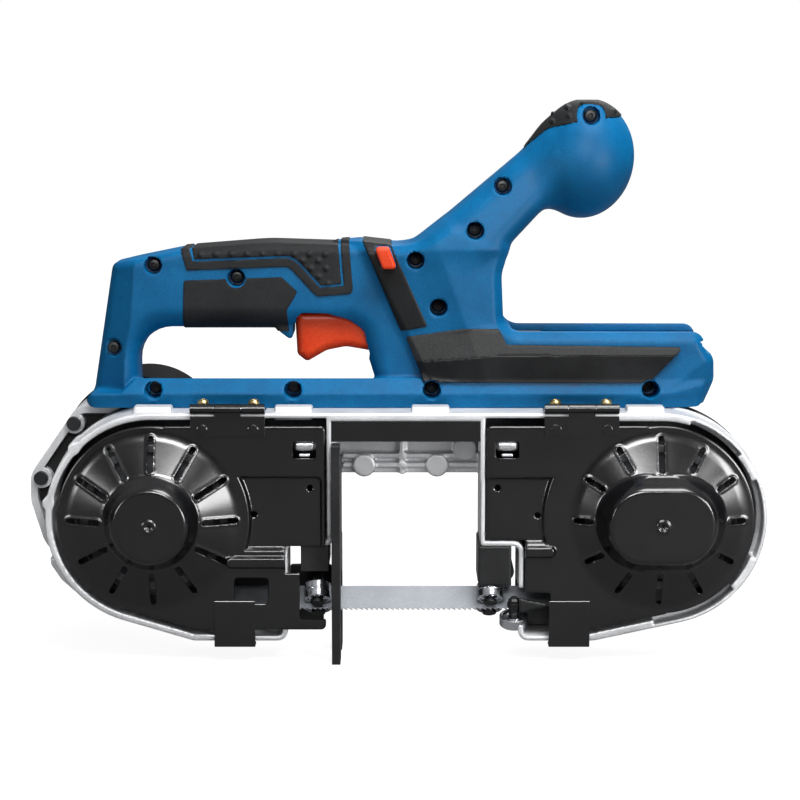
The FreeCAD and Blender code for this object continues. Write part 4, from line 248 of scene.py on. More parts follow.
def add_node(tree, kind, inputs, **settings):
    """Adds a node with its settings; an input is a value or a (node, output) pair to link from."""
    node = tree.nodes.new(kind)
    for name, value in settings.items():
        setattr(node, name, value)
    for socket, value in inputs.items():
        if isinstance(value, tuple):
            tree.links.new(value[0].outputs[value[1]], node.inputs[socket])
        else:
            node.inputs[socket].default_value = value
    return node


def new_finish(name, tones, roughness, grain_mm, grain_depth_mm, patch_mm=18.0, **sockets):
    """A material from its dark and light tone, its roughness range and the size and depth of its grain."""
    material = bpy.data.materials.new(name)
    material.use_nodes = True
    tree = material.node_tree
    shader = tree.nodes["Principled BSDF"]
    for socket, value in sockets.items():
        shader.inputs[socket.replace("_", " ")].default_value = value
    place = add_node(tree, "ShaderNodeTexCoord", {})
    grain = add_node(tree, "ShaderNodeTexNoise", {"Vector": (place, "Object"), "Scale": 1 / (grain_mm * MM),
                                                  "Detail": 3.0, "Roughness": 0.65})
    patches = add_node(tree, "ShaderNodeTexNoise", {"Vector": (place, "Object"), "Scale": 1 / (patch_mm * MM),
                                                    "Detail": 4.0, "Roughness": 0.6})
    blend = add_node(tree, "ShaderNodeMath", {0: (grain, 0), 1: (patches, 0)}, operation="MULTIPLY")
    tone = add_node(tree, "ShaderNodeValToRGB", {"Fac": (blend, 0)})
    for stop, place_share, code in zip(tone.color_ramp.elements, (0.12, 0.38), tones):
        stop.position = place_share
        stop.color = linear(code)
    sheen = add_node(tree, "ShaderNodeMapRange", {"Value": (patches, 0), "From Min": 0.3, "From Max": 0.7,
                                                  "To Min": roughness[0], "To Max": roughness[1]})
    relief = add_node(tree, "ShaderNodeBump", {"Height": (grain, 0), "Strength": 1.0,
                                               "Distance": grain_depth_mm * MM})
    tree.links.new(tone.outputs["Color"], shader.inputs["Base Color"])
    tree.links.new(sheen.outputs["Result"], shader.inputs["Roughness"])
    tree.links.new(relief.outputs["Normal"], shader.inputs["Normal"])
    return material


body_of = {node: body for body, members in frame["record"]["behaviour"]["bodies"].items() for node in members}


def add_piece(name, mesh, material, node, replaces=True):
    """Shows a mesh on the body of a CAD node, in the node's place or beside it."""
    piece = bpy.data.objects.new(name, mesh)
    bpy.context.scene.collection.objects.link(piece)
    mesh.materials.clear()
    mesh.materials.append(material)
    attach(piece, body_of[node])
    if replaces:
        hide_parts(node)


def add_moulding(name, field, material, node, margin, step, replaces=True):
    """Meshes a field up to a margin around a CAD node's box, as a piece in its place or beside it."""
    low, high = span_of(node)
    mesh = mesh_of_field(name, field, [c - margin for c in low], [c + margin for c in high], step)
    add_piece(name, mesh, material, node, replaces)


# blasted casting: pale and fine-grained, with soft broad highlights
cast_tones, cast_roughness, cast_grain, cast_grain_depth = ("#c9cacd", "#e2e3e5"), (0.4, 0.5), 0.7, 0.03
cast_aluminium = new_finish("blasted_cast_aluminium", cast_tones, cast_roughness, cast_grain,
                            cast_grain_depth, Metallic=0.25)
# painted shade: deep in the tray behind the wheels, beside the throat, the casting darkens to near black,
# where shade falls
shaded_tray_casting = new_finish("cast_aluminium_painted_deep_shade", cast_tones, cast_roughness, cast_grain,
                          cast_grain_depth, Metallic=0.25)
shade_from_y, shade_full_y, shade_off_throat = -41, -38, 1
tray_tree = shaded_tray_casting.node_tree
tray_shader = tray_tree.nodes["Principled BSDF"]
tray_tone = tray_shader.inputs["Base Color"].links[0].from_node
tray_place = add_node(tray_tree, "ShaderNodeTexCoord", {})
tray_axes = add_node(tray_tree, "ShaderNodeSeparateXYZ", {0: (tray_place, "Object")})
deep_shade_share = add_node(tray_tree, "ShaderNodeMapRange", {"Value": (tray_axes, "Y"),
                                                        "From Min": shade_from_y * MM,
                                                        "From Max": shade_full_y * MM})
throat_middle_x, throat_half = (throat_left_x + throat_right_x) / 2, (throat_right_x - throat_left_x) / 2
from_throat = add_node(tray_tree, "ShaderNodeMath", {0: (tray_axes, "X"), 1: throat_middle_x * MM},
                       operation="SUBTRACT")
off_throat = add_node(tray_tree, "ShaderNodeMath", {0: (from_throat, 0)}, operation="ABSOLUTE")
shade_from_middle = throat_half + shade_off_throat
beside_throat = add_node(tray_tree, "ShaderNodeMath", {0: (off_throat, 0), 1: shade_from_middle * MM},
                         operation="GREATER_THAN")
shade_share = add_node(tray_tree, "ShaderNodeMath", {0: (deep_shade_share, 0), 1: (beside_throat, 0)},
                      operation="MULTIPLY")
# the painted shade: the casting's tone is mixed to near black with depth
shade_mix = add_node(tray_tree, "ShaderNodeMix", {0: (shade_share, 0), 6: (tray_tone, 0), 7: linear("#1c1c1e")},
                    data_type="RGBA")
tray_tree.links.new(shade_mix.outputs[2], tray_shader.inputs["Base Color"])


def lobe_points(left):
    """The straight-sided part of one end of the tray, down to its foot."""
    centre_x, throat_x, step_x, foot_x = ((drive_x, throat_left_x, step_left_x, foot_left_x) if left
                                          else (idler_x, throat_right_x, step_right_x, foot_right_x))
    side = -1 if left else 1
    drop = foot_z - axis_z
    run = foot_x - centre_x
    angle = math.atan2(drop, run) + side * math.acos(lobe_radius / math.hypot(run, drop))
    touch = (centre_x + lobe_radius * math.cos(angle), axis_z + lobe_radius * math.sin(angle), 0)
    return [(centre_x, tray_top_z, 0), (throat_x, tray_top_z, 0), (throat_x, step_z, throat_corner),
            (step_x, step_z, step_corner), (step_x, foot_z, heel_corner), (foot_x, foot_z, foot_corner),
            touch, (centre_x, axis_z, 0)]


lobe_outlines = {left: rounded(lobe_points(left)) for left in (True, False)}


def lobe_field(x, z, left):
    """Signed distance to one end of the tray in the XZ plane."""
    centre_x = drive_x if left else idler_x
    ring = np.hypot(x - centre_x, z - axis_z) - lobe_radius
    return np.minimum(ring, outline_field(lobe_outlines[left], x, z))


rim_notch_degrees = ((39.5, 73.0), (-22.0, 23.0), (-92.0, -43.0))
rim_notch_depth, rim_notch_width = 9.0, 2.2
rim_lug_degrees = (137, 171)
rim_lug_radius = 2.9
pad_middles = (-117.2, -49.0, 17.5, 121.6)
pad_half, pad_near, pad_deep, pad_rise = 9.2, 4.0, 9.0, 2.5
bridge_ribs_z = (92.75, 97.4)
bridge_rib_x = 3.8
bridge_bosses = ((-15.1, 92.5), (21.0, 92.5), (34.9, 100.9))
rib_half, rib_height, boss_radius = 1.2, 4.0, 5.6
window_half_y, window_half_z = 9.1, 8.3
upper_run_rise, cut_drop = 38.55, 42.0
upper_run_z, cut_z = axis_z + upper_run_rise, axis_z - cut_drop
saddle = (-74.6, 109.2, 27.0)
lobe_wall_places, lobe_walls = (-95.0, -75.0, 80.0, 100.0), (3.4, 2.5, 2.5, tray_wall)
flange_corners = [(-169.6, 50.1, 1), (-169.2, 45.5, 2), (-164.1, 37.8, 3), (-156.5, 31.0, 2),
                  (-151.5, 30.6, 1.5), (-148.6, 24.4, 2), (-137.0, 18.9, 4), (-117.0, 12.6, 2),
                  (-104.0, 12.0, 1), (-102.0, foot_z, 1)]
flange_end_x, flange_end_rise, flange_overlap = -99.0, 2, 2.2
flange_inner_radius = lobe_radius - flange_overlap
flange_from_degrees, flange_to_degrees, flange_step_degrees = 270, 204, -6
flange_turns = [math.radians(angle)
                for angle in range(flange_from_degrees, flange_to_degrees, flange_step_degrees)]
flange_points = rounded(flange_corners + [(flange_end_x, foot_z + flange_end_rise, 0)]
                        + [(drive_x + flange_inner_radius * math.cos(turn),
                            axis_z + flange_inner_radius * math.sin(turn), 0) for turn in flange_turns])
flange_near_y = -49.0
cut_reach, notch_low_z, notch_high_z, notch_deep = 3, 17.5, 36.5, 7
guide_notch = ((step_right_x - cut_reach, rim_y - cut_reach, notch_low_z),
               (step_right_x + notch_deep, wheel_mid_y, notch_high_z))
low_rim_left, low_rim_right, low_rim_below, low_rim_above, low_rim_deep = 9, 1, 4, 5, 2.3
lowered_rim = ((step_left_x - low_rim_left, rim_y - cut_reach, step_z - low_rim_below),
               (throat_left_x + low_rim_right, rim_y + low_rim_deep, step_z + low_rim_above))
rim_edge, casting_edge, cut_edge, cavity_corner, flange_round = 0.9, 0.8, 0.5, 2.0, 1.0
lug_fillet, pad_fillet, rib_fillet, shelf_fillet, flange_fillet = 1.5, 0.8, 1.2, 1.0, 1.0
flare_proud, flare_deep = 1.0, 16.0
hollow_reach, lug_inset, pad_round, pad_root = 30, 1, 1.0, 3
rib_start, rib_end, boss_proud, shelf_root, window_reach = 5, 2, 1, 2, 8


def rim_notches(x, y, z, lobe):
    """The shallow notches along the rim around the tensioned wheel."""
    turn = np.degrees(np.arctan2(z - axis_z, x - idler_x))
    reach = np.hypot(x - idler_x, z - axis_z)
    notch = np.full(np.shape(turn), np.inf)
    for start, end in rim_notch_degrees:
        middle, half = (start + end) / 2, (end - start) / 2
        notch = np.minimum(notch, (np.abs(turn - middle) - half) * math.pi / 180 * reach)
    wall = np.maximum(notch, lobe + tray_wall - rim_notch_width)
    return np.maximum(wall, y - rim_y - rim_notch_depth)


def tray_walls(x, y, z):
    """The two ends and the bridge of the casting, hollowed out around the wheels and the band."""
    lobes = {left: lobe_field(x, z, left) for left in (True, False)}
    flat = np.minimum(lobes[True], lobes[False])
    bridge_low = (throat_left_x - tray_wall, -1, bridge_z)
    bridge_high = (throat_right_x + tray_wall, 1, tray_top_z)
    flat = np.minimum(flat, box_field(x, 0 * y, z, bridge_low, bridge_high))
    thick = np.maximum(rim_y - y, y - tray_back_y)
    solid = meet(flat, thick, rim_edge)
    for left, centre_x in ((True, drive_x), (False, idler_x)):
        flare = np.hypot(x - centre_x, z - axis_z) - lobe_radius - flare_proud
        flare = meet(flare, np.maximum(tray_back_y - flare_deep - y, y - tray_back_y), casting_edge)
        solid = np.minimum(solid, np.maximum(flare, z - tray_top_z))
        wall = np.interp(x, lobe_wall_places, lobe_walls)
        cavity = meet(lobes[left] + wall, y - tray_floor_y, cavity_corner)
        if not left:
            cavity = np.minimum(cavity, rim_notches(x, y, z, lobes[left]))
        solid = meet(solid, -cavity, casting_edge)
    hollow = box_field(x, y, z, (throat_left_x, rim_y - hollow_reach, bridge_z - hollow_reach),
                       (throat_right_x, tray_floor_y, tray_top_z - tray_wall))
    return meet(solid, -hollow, casting_edge)


def with_rim(solid, x, y, z):
    """The walls with the lugs, the flange, the cuts and the pads of their rim."""
    thick = np.maximum(rim_y - y, y - tray_back_y)
    for angle in rim_lug_degrees:
        lug_x = drive_x + (lobe_radius - lug_inset) * math.cos(math.radians(angle))
        lug_z = axis_z + (lobe_radius - lug_inset) * math.sin(math.radians(angle))
        lug = meet(np.hypot(x - lug_x, z - lug_z) - rim_lug_radius, thick, casting_edge)
        solid = join(solid, lug, lug_fillet)
    flange_thick = np.maximum(flange_near_y - y, y - tray_back_y)
    flange = meet(outline_field(flange_points, x, z), flange_thick, flange_round)
    solid = np.maximum(join(solid, flange, flange_fillet), rim_y - y)
    for cut in (guide_notch, lowered_rim):
        solid = meet(solid, -box_field(x, y, z, *cut), cut_edge)
    pad_y, pad_end_y = rim_y + pad_near + pad_round, rim_y + pad_near + pad_deep - pad_round
    pad_top_z = tray_top_z + pad_rise - pad_round
    for middle in pad_middles:
        pad = box_field(x, y, z, (middle - pad_half + pad_round, pad_y, tray_top_z - pad_root),
                        (middle + pad_half - pad_round, pad_end_y, pad_top_z)) - pad_round
        solid = join(solid, pad, pad_fillet)
    return solid


def with_ribs(solid, x, y, z):
    """The walls with the ribs, bosses and shelf behind the throat and the windows for the band."""
    rib_y = tray_floor_y - rib_height
    ribs = [((throat_left_x + rib_start, rib_y, rib_z - rib_half),
             (throat_right_x, tray_floor_y, rib_z + rib_half)) for rib_z in bridge_ribs_z]
    ribs.append(((bridge_rib_x - rib_half, rib_y, bridge_z),
                 (bridge_rib_x + rib_half, tray_floor_y, tray_top_z - rib_end)))
    for rib in ribs:
        solid = join(solid, box_field(x, y, z, *rib), rib_fillet)
    boss_thick = np.maximum(rib_y - boss_proud - y, y - tray_floor_y)
    for boss_x, boss_z in bridge_bosses:
        boss = meet(np.hypot(x - boss_x, z - boss_z) - boss_radius, boss_thick, casting_edge)
        solid = join(solid, boss, rib_fillet)
    saddle_x, saddle_end_x, saddle_deep = saddle
    shelf = box_field(x, y, z, (saddle_x, tray_back_y - shelf_root, tray_top_z - tray_wall),
                      (saddle_end_x, tray_back_y + saddle_deep, tray_top_z))
    solid = join(solid, shelf, shelf_fillet)
    for wall_x, height in ((throat_left_x, upper_run_z), (throat_right_x, upper_run_z),
                           (step_left_x, cut_z), (step_right_x, cut_z)):
        window_low = (wall_x - window_reach, wheel_mid_y - window_half_y, height - window_half_z)
        window_high = (wall_x + window_reach, wheel_mid_y + window_half_y, height + window_half_z)
        solid = meet(solid, -box_field(x, y, z, window_low, window_high), cut_edge)
    return solid


def tray_field(x, y, z):
    """The whole casting."""
    return with_ribs(with_rim(tray_walls(x, y, z), x, y, z), x, y, z)


tray_margin, tray_step = 2.0, 0.8
add_moulding("frame_tray_cast", tray_field, shaded_tray_casting, "frame_tray", tray_margin, tray_step)


# Plastic body: two glass-filled nylon shells, moulded in blue with a fine spark-eroded grain.
# They meet in the middle plane of the handle and are drawn together by twelve screws in deep recesses.
body_mid_y = -20.0
shell_gap = 0.1
fine_pieces = 8
loop_corners = [(-150.3, 124, 0), (-138.7, 192.6, 4.5), (-104.5, 199.6, 60), (-62.2, 202.9, 109),
                (8, 200.6, 10.9), (24, 124, 0), (-5.8, 124, 0), (-17.5, 161, 6), (-126.5, 161, 16.9),
                (-126.5, 124, 0)]
loop_points = rounded(loop_corners, fine_pieces)
body_corners = [(-5.4, 124, 0), (-17.2, 161.5, 0), (-32, 203.2, 4), (-17, 203.8, 0), (8, 200.7, 30),
                (27, 213, 7), (56.8, 202.9, 7), (52.3, 187.7, 16), (53.5, 159.9, 9.2), (149.2, 159.7, 6),
                (156.5, 146.1, 8), (157.2, 136, 8), (152.2, 124, 0)]
body_points = rounded(body_corners, fine_pieces)
neck_corners = [(1.8, 171.9, 0), (8, 200.7, 35), (79.4, 261.7, 9), (95.4, 242.1, 9), (72.6, 219, 4),
                (56.8, 202.4, 20), (47.0, 187.7, 0), (44.0, 171.9, 0)]
neck_points = rounded(neck_corners, fine_pieces)
gap_corners = [(-5.8, 110, 0), (-17.5, 161, 6), (-126.5, 161, 16.9), (-126.5, 110, 0)]
gap_points = rounded(gap_corners, fine_pieces)
gap_round = 11.0
lip_corners = [(-59.7, 162.9, 0), (-56.2, 158.6, 0), (-51.1, 154.8, 1.6), (-49.3, 158, 0),
               (-49.3, 166.5, 0), (-59.7, 166.5, 0)]
lip_points = rounded(lip_corners)
knob_centre = (93.2, 243.1)
knob_across, knob_long, knob_lean = 24.4, 29.0, math.radians(9)
handle_half, body_half = 17.0, 25.5
base_left, base_right = -151.2, 152.2
base_foot, base_ridge, base_top = 122.7, 130.0, 137.0
base_foot_half, base_top_half = 23.5, 20.0
base_fall_share = 0.16
pillar_foot_x = -134.0
body_inset = 1.8
handle_screw, knob_screw, panel_screws = (-77.3, 186.0), (95.2, 264.4), ((18.2, 131.4), (125.1, 131.9))
screw_places = ((-117.9, 191.9), handle_screw, (-138.5, 151.2), (-117.9, 131.4), (-49.7, 131.4),
                *panel_screws, (10.3, 194.8), (21.5, 171.9), (39.2, 209.2), (52.7, 230.4), knob_screw)
recess_radius, recess_seat_y = 4.3, -29.0
trigger_slot = ((-49.9, 146.3), (-2.0, 176.3), 12.0)
arch_corners = [(-48.6, 157.8, 0), (-48.2, 166.2, 1.5), (-45.4, 168.6, 3), (-33, 168.4, 8), (-22, 165, 10),
                (-14, 157.8, 0)]
arch_points = rounded(arch_corners)
bay_start, bay_floor_z, bay_half, bay_lip, bay_lip_height = 57.5, 149.3, 20.5, 3.4, 4.6
bay_top_z, bay_open, arch_overlap = 159.7, 6, 1
pillar_crease, pillar_back_share = ((-131.8, 130.0), (-127.0, 192.0)), 0.65
front_crease, front_back_share = ((24.5, 124.0), (-16.6, 206.0)), 0.65
flank_crease, flank_back_share, rise_share = ((35.5, 161.7), (20.9, 201.6)), 0.13, 0.1
rise_from_z, rise_blend, rise_depth = 160, 4, 2.5
end_crease, end_back_share = ((151.0, 145.3), (128.1, 127.5)), 0.35
loop_edge, body_chamfer, body_edge = 4.0, 4.0, 0.9
neck_levels, neck_halves, neck_chamfer, neck_edge = (186.0, 200.0, 242.0), (18.0, 23.2, 14.5), 6.0, 3.0
lip_inset, lip_edge, base_end_edge = 5, 1.0, 5.0
neck_fillet, knob_fillet, base_fillet, lip_fillet, body_fillet = 5.0, 9.0, 2.0, 1.0, 1.6
shell_edge, seam_edge = 0.5, 0.3


def beyond(x, z, line):
    """How far a place lies to the left of a line from its start to its end, and zero on its right."""
    (start_x, start_z), (end_x, end_z) = line
    run, rise = end_x - start_x, end_z - start_z
    return np.maximum((rise * (start_x - x) - run * (start_z - z)) / math.hypot(run, rise), 0)


def chamfered(flat, deep, width, edge):
    """A flat outline with a depth, its rim cut at 45 degrees by a width and rounded."""
    slope = (flat + deep + width) * math.sqrt(0.5)
    return meet(meet(flat, slope, edge), meet(deep, slope, edge), edge / 4)


def knob_field(x, y, z):
    """The egg-shaped front knob, which leans forward."""
    c, s = math.cos(knob_lean), math.sin(knob_lean)
    across = ((x - knob_centre[0]) * c - (z - knob_centre[1]) * s) / knob_across
    along = ((x - knob_centre[0]) * s + (z - knob_centre[1]) * c) / knob_long
    return (np.sqrt(across ** 2 + along ** 2 + ((y - body_mid_y) / knob_across) ** 2) - 1) * knob_across


def base_field(x, y, z, end_back):
    """The long base, with a ridge along its sides and a top that falls to the far side."""
    side = np.abs(y - body_mid_y)
    low_run, low_fall = base_ridge - base_foot, body_half - base_foot_half
    low_slope = side - base_foot_half - (z - base_foot) * low_fall / low_run
    top_run, top_fall = base_top - base_ridge, body_half - base_top_half
    top_slope = ((side - body_half) * top_run + (z - base_ridge) * top_fall) / math.hypot(top_run, top_fall)
    flat_top = z - base_top + base_fall_share * (y - body_mid_y + base_top_half)
    flat_top = flat_top / math.hypot(1, base_fall_share)
    base = np.maximum(np.maximum(low_slope, top_slope), np.maximum(base_foot - z, flat_top))
    base = np.maximum(base, side - body_half + end_back)
    upper_left = (pillar_foot_x - x + z - base_ridge) * math.sqrt(0.5)
    base = np.maximum(base, np.minimum(upper_left, z - base_ridge))
    return meet(base, np.maximum(base_left - x, x - base_right), base_end_edge)


def skin_field(x, y, z):
    """The outside of the plastic body, without its cuts."""
    side = np.abs(y - body_mid_y)
    pillar_back = pillar_back_share * beyond(x, z, pillar_crease)
    loop = meet(outline_field(loop_points, x, z), side - handle_half + pillar_back, loop_edge)
    loop = np.maximum(loop, meet(-outline_field(gap_points, x, z), side - handle_half, gap_round))
    flank_back = flank_back_share * beyond(x, z, flank_crease)
    rise_back = np.minimum(rise_share * beyond(x, z, flank_crease[::-1]), rise_depth)
    rise_back = rise_back * np.clip((z - rise_from_z) / rise_blend, 0, 1)
    end_back = end_back_share * beyond(x, z, end_crease)
    front_back = front_back_share * beyond(x, z, front_crease)
    strip_back = body_inset * np.clip((z - base_ridge) / (base_top - base_ridge), 0, 1)
    body_side = side - body_half + flank_back + rise_back + end_back + front_back + strip_back
    body = chamfered(outline_field(body_points, x, z), body_side, body_chamfer, body_edge)
    neck_half = np.interp(z, neck_levels, neck_halves)
    neck = chamfered(outline_field(neck_points, x, z), side - neck_half, neck_chamfer, neck_edge)
    lip = meet(outline_field(lip_points, x, z), side - handle_half + lip_inset, lip_edge)
    upper = join(join(neck, body, neck_fillet), knob_field(x, y, z), knob_fillet)
    lower = join(join(loop, base_field(x, y, z, end_back), base_fillet), lip, lip_fillet)
    return np.maximum(join(upper, lower, body_fillet), base_foot - z)


def cut_field(x, y, z):
    """The trigger slot and the bay of the battery rail."""
    side = np.abs(y - body_mid_y)
    (slot_x, slot_z), (slot_end_x, slot_end_z), slot_half = trigger_slot
    slot = np.maximum(np.maximum(slot_x - x, x - slot_end_x), np.maximum(slot_z - z, z - slot_end_z))
    arch = np.maximum(outline_field(arch_points, x, z), slot_half - arch_overlap - side)
    slot = np.minimum(np.maximum(slot, side - slot_half), arch)
    mouth = np.maximum(side - bay_half + bay_lip, bay_floor_z - z)
    groove = np.maximum(side - bay_half, np.maximum(bay_floor_z - z, z - bay_top_z + bay_lip_height))
    bay = np.maximum(np.minimum(mouth, groove), np.maximum(bay_start - x, z - bay_top_z - bay_open))
    return np.minimum(slot, bay)


def near_field(x, y, z):
    """The shell on the guard side, with its screw recesses."""
    shell = meet(skin_field(x, y, z), -cut_field(x, y, z), shell_edge)
    for place_x, place_z in screw_places:
        hole = np.maximum(np.hypot(x - place_x, z - place_z) - recess_radius, y - recess_seat_y)
        shell = meet(shell, -hole, shell_edge)
    return meet(shell, y - body_mid_y + shell_gap, seam_edge)


def far_field(x, y, z):
    """The shell on the motor side."""
    shell = meet(skin_field(x, y, z), -cut_field(x, y, z), shell_edge)
    return meet(shell, body_mid_y + shell_gap - y, seam_edge)


# moulded nylon: a soft satin blue whose fine grain breaks the highlights
blue_nylon = new_finish("spark_grained_blue_nylon", ("#00588a", "#006da4"), (0.42, 0.52),
                        grain_mm=0.8, grain_depth_mm=0.05, Specular_IOR_Level=0.11)
shell_margin, shell_step = 2, 0.9
add_moulding("housing_near_shell", near_field, blue_nylon, "housing_near", shell_margin, shell_step)
add_moulding("housing_far_shell", far_field, blue_nylon, "housing_far", shell_margin, shell_step)


# Soft grips: thermoplastic rubber moulded over the handle and the knob in a skin about 1.6 mm thick.
# The top pad has a border, a groove that shows the blue below and rows of raised dots.
grip_proud, grip_deep = 0.6, 1.6
grip_top_z = span_of("soft_grips")[1][2]
grip_top_corners = [(-108.1, 212.2, 0), (-101.4, 189.6, 1.6), (-51.5, 191.5, 5.4), (-38, 176.8, 3.3),
                    (-20.1, 178.2, 2.7), (-22.9, 212.2, 0)]
grip_top_points = rounded(grip_top_corners)
grip_low_corners = [(-102.9, 184.7, 1), (-55, 186.4, 1), (-47.4, 179.2, 1), (-52.6, 170.4, 2),
                    (-51.7, 152.3, 0), (-104.2, 152.3, 0)]
grip_low_points = rounded(grip_low_corners)
cap_corners = [(54.6, 241.5, 0), (74.6, 258.4, 5.4), (89.2, 261.9, 5.4), (116.5, 264.7, 0),
               (123.8, 285.6, 0), (54.6, 285.6, 0)]
cap_points = rounded(cap_corners)
border_middle, border_half = 4.8, 0.6
dot_radius, dot_height = 1.15, 0.8
dot_start_x, dot_pitch, dot_row_z, dot_count = -94.8, 7.62, 197.6, 9
top_dots = ([(dot_start_x + dot_pitch * number, dot_row_z) for number in range(dot_count)]
            + [(-44.9, 194.4), (-37.2, 194.4), (-40.9, 190.6), (-33.4, 190.6), (-36.9, 186.6),
               (-32.4, 183.0)])
cap_dots = ((76.9, 266.2), (76.7, 261.8), (84.2, 268.6), (84.4, 264.6), (91.7, 270.2), (106.8, 266.9))
handle_screw_clear, knob_screw_clear, grip_edge = 5.0, 7.0, 0.35


def dots_height(x, z, places):
    """Rounded dots that stand up from a pad."""
    return sum(dot_height * np.exp(-((x - a) ** 2 + (z - b) ** 2) ** 2 / dot_radius ** 4) for a, b in places)


def recess_field(x, y, z, screw, clear):
    """The room that a pad leaves around a screw recess of the near shell."""
    screw_x, screw_z = screw
    return np.maximum(np.hypot(x - screw_x, z - screw_z) - clear, y - recess_seat_y)


def grip_field(x, y, z):
    """The three soft skins."""
    skin = skin_field(x, y, z)
    top = outline_field(grip_top_points, x, z)
    top = np.maximum(top, border_half - np.abs(top + border_middle))
    low_recess = recess_field(x, y, z, handle_screw, handle_screw_clear)
    cap_recess = recess_field(x, y, z, knob_screw, knob_screw_clear)
    low = np.maximum(outline_field(grip_low_points, x, z), -low_recess)
    cap = np.maximum(outline_field(cap_points, x, z), -cap_recess)
    pads = np.minimum(np.minimum(top, low), cap)
    raised = dots_height(x, z, top_dots) + dots_height(x, z, cap_dots)
    solid = meet(skin - grip_proud - raised, pads, grip_edge)
    return np.maximum(np.maximum(solid, -skin - grip_deep), z - grip_top_z)


# soft rubber: nearly black, dull, with a leathery grain
soft_rubber = new_finish("matt_moulded_rubber", ("#161718", "#232527"), (0.5, 0.62),
                         grain_mm=0.9, grain_depth_mm=0.09, Specular_IOR_Level=0.14)
grip_margin, grip_step = 2, 0.7
add_moulding("soft_grip_skins", grip_field, soft_rubber, "soft_grips", grip_margin, grip_step)


# Trim bands and side panels: black nylon inlays clipped into both shells, a little proud of the blue.
# The long panel's upper facet carries a painted sheen of the light from above, lighter than its dark lower
# one; the slanted band holds the lock-off button.
inlay_proud, inlay_deep = 0.6, 3.0
panel_ridge_x, panel_ridge_z, panel_ridge_proud = (10.0, 50.0, 140.0), (145.2, 148.6, 148.8), 2.6
band_corners = [(-16.6, 206.0, 0), (-3.3, 206.0, 0), (16.2, 162.7, 0.8), (3.1, 159.9, 0.8)]
band_points = rounded(band_corners)
panel_corners = [(5.4, 157.4, 1), (33.0, 161.7, 1), (50.8, 161.7, 1), (54.8, 154, 1), (140.6, 152.8, 1),
                 (124.5, 135.3, 1), (14.4, 135.3, 1)]
panel_points = rounded(panel_corners)
panel_screw_clear, sheen_sheet_depth = 5.0, 0.35
upper_fall_share, lower_fall_share = 0.16, 0.1
button_corners = [(-9.7, 201.4, 1.5), (-2.7, 201.4, 1.5), (1.3, 191.2, 1.5), (-5.7, 191.2, 1.5)]
button_points = rounded(button_corners)
button_clear, button_gap_edge, inlay_edge = 0.5, 0.3, 0.5


def band_field(x, y, z):
    """The slanted band, open where the button goes through."""
    skin = skin_field(x, y, z)
    solid = meet(skin - inlay_proud, outline_field(band_points, x, z), inlay_edge)
    solid = np.maximum(solid, -skin - inlay_deep)
    return meet(solid, button_clear - outline_field(button_points, x, z), button_gap_edge)


def panel_field(upper):
    """The long side panel, or the sheet over its upper facet that carries the painted sheen; both facets
    slope back from a ridge.
    """
    def field(x, y, z):
        skin = skin_field(x, y, z)
        above_ridge = z - np.interp(x, panel_ridge_x, panel_ridge_z)
        fall = np.where(above_ridge > 0, upper_fall_share, lower_fall_share) * np.abs(above_ridge)
        proud = np.maximum(panel_ridge_proud - fall, inlay_proud)
        if not upper:
            proud = proud - np.where(above_ridge > 0, sheen_sheet_depth, 0)
        solid = meet(skin - proud, outline_field(panel_points, x, z), inlay_edge)
        solid = np.maximum(solid, -skin - inlay_deep)
        for screw_x, screw_z in panel_screws:
            solid = np.maximum(solid, panel_screw_clear - np.hypot(x - screw_x, z - screw_z))
        return np.maximum(solid, -above_ridge) if upper else solid
    return field


# grained nylon: black with a soft sheen, a little glossier than the rubber
black_nylon = new_finish("grained_black_nylon", ("#121315", "#1d1e20"), (0.38, 0.48),
                         grain_mm=0.8, grain_depth_mm=0.05, Specular_IOR_Level=0.16)
# the upper facet is left coarser from the mould, and its lighter grey tone is a painted sheen of the light
# from above
sheen_painted_nylon = new_finish("black_nylon_painted_sheen", ("#202122", "#343536"), (0.5, 0.6),
                          grain_mm=1.0, grain_depth_mm=0.1, Specular_IOR_Level=0.2)
inlay_margin, inlay_step = 5, 0.7
add_moulding("trim_bands_inlay", band_field, black_nylon, "trim_bands", inlay_margin, inlay_step)
add_moulding("side_panels_inlay", panel_field(False), black_nylon, "side_panels", inlay_margin, inlay_step)
# a thin sheet over the upper facet carries the painted sheen
add_moulding("side_panels_facet", panel_field(True), sheen_painted_nylon, "side_panels", inlay_margin, inlay_step,
             replaces=False)


# Trigger: satin red plastic on a pin inside the handle, with a finger hook at its lower end.
# Its edges are well rounded for the finger, and a pocket in its top takes the switch plunger.
trigger_corners = [(-49.2, 168.9, 1.6), (-48.1, 147.4, 3), (-43.3, 143.6, 2.4), (-33.5, 149.3, 8.2),
                   (-24, 151.2, 9.5), (-12.4, 149.2, 1.9), (-4.5, 158, 3), (-4.5, 168, 3),
                   (-21.8, 169.4, 8.2)]
trigger_points = rounded(trigger_corners, fine_pieces)
trigger_half, trigger_edge = 11.4, 4.6
pin_x, _, pin_z = centre_of("trigger_pin")
pin_clear = 2.4
plunger_low, plunger_high = span_of("switch_plunger")
plunger_clear = 1.6


def trigger_field(x, y, z):
    """The trigger, rounded where the finger lies, with a pocket under the plunger and a hole for its pin."""
    solid = meet(outline_field(trigger_points, x, z), np.abs(y - body_mid_y) - trigger_half, trigger_edge)
    pocket = np.maximum(np.maximum(plunger_low[0] - x, x - plunger_high[0]), plunger_low[2] - z)
    pocket = np.maximum(pocket, np.maximum(plunger_low[1] - y, y - plunger_high[1])) - plunger_clear
    solid = np.maximum(solid, -pocket)
    return np.maximum(solid, pin_clear - np.hypot(x - pin_x, z - pin_z))


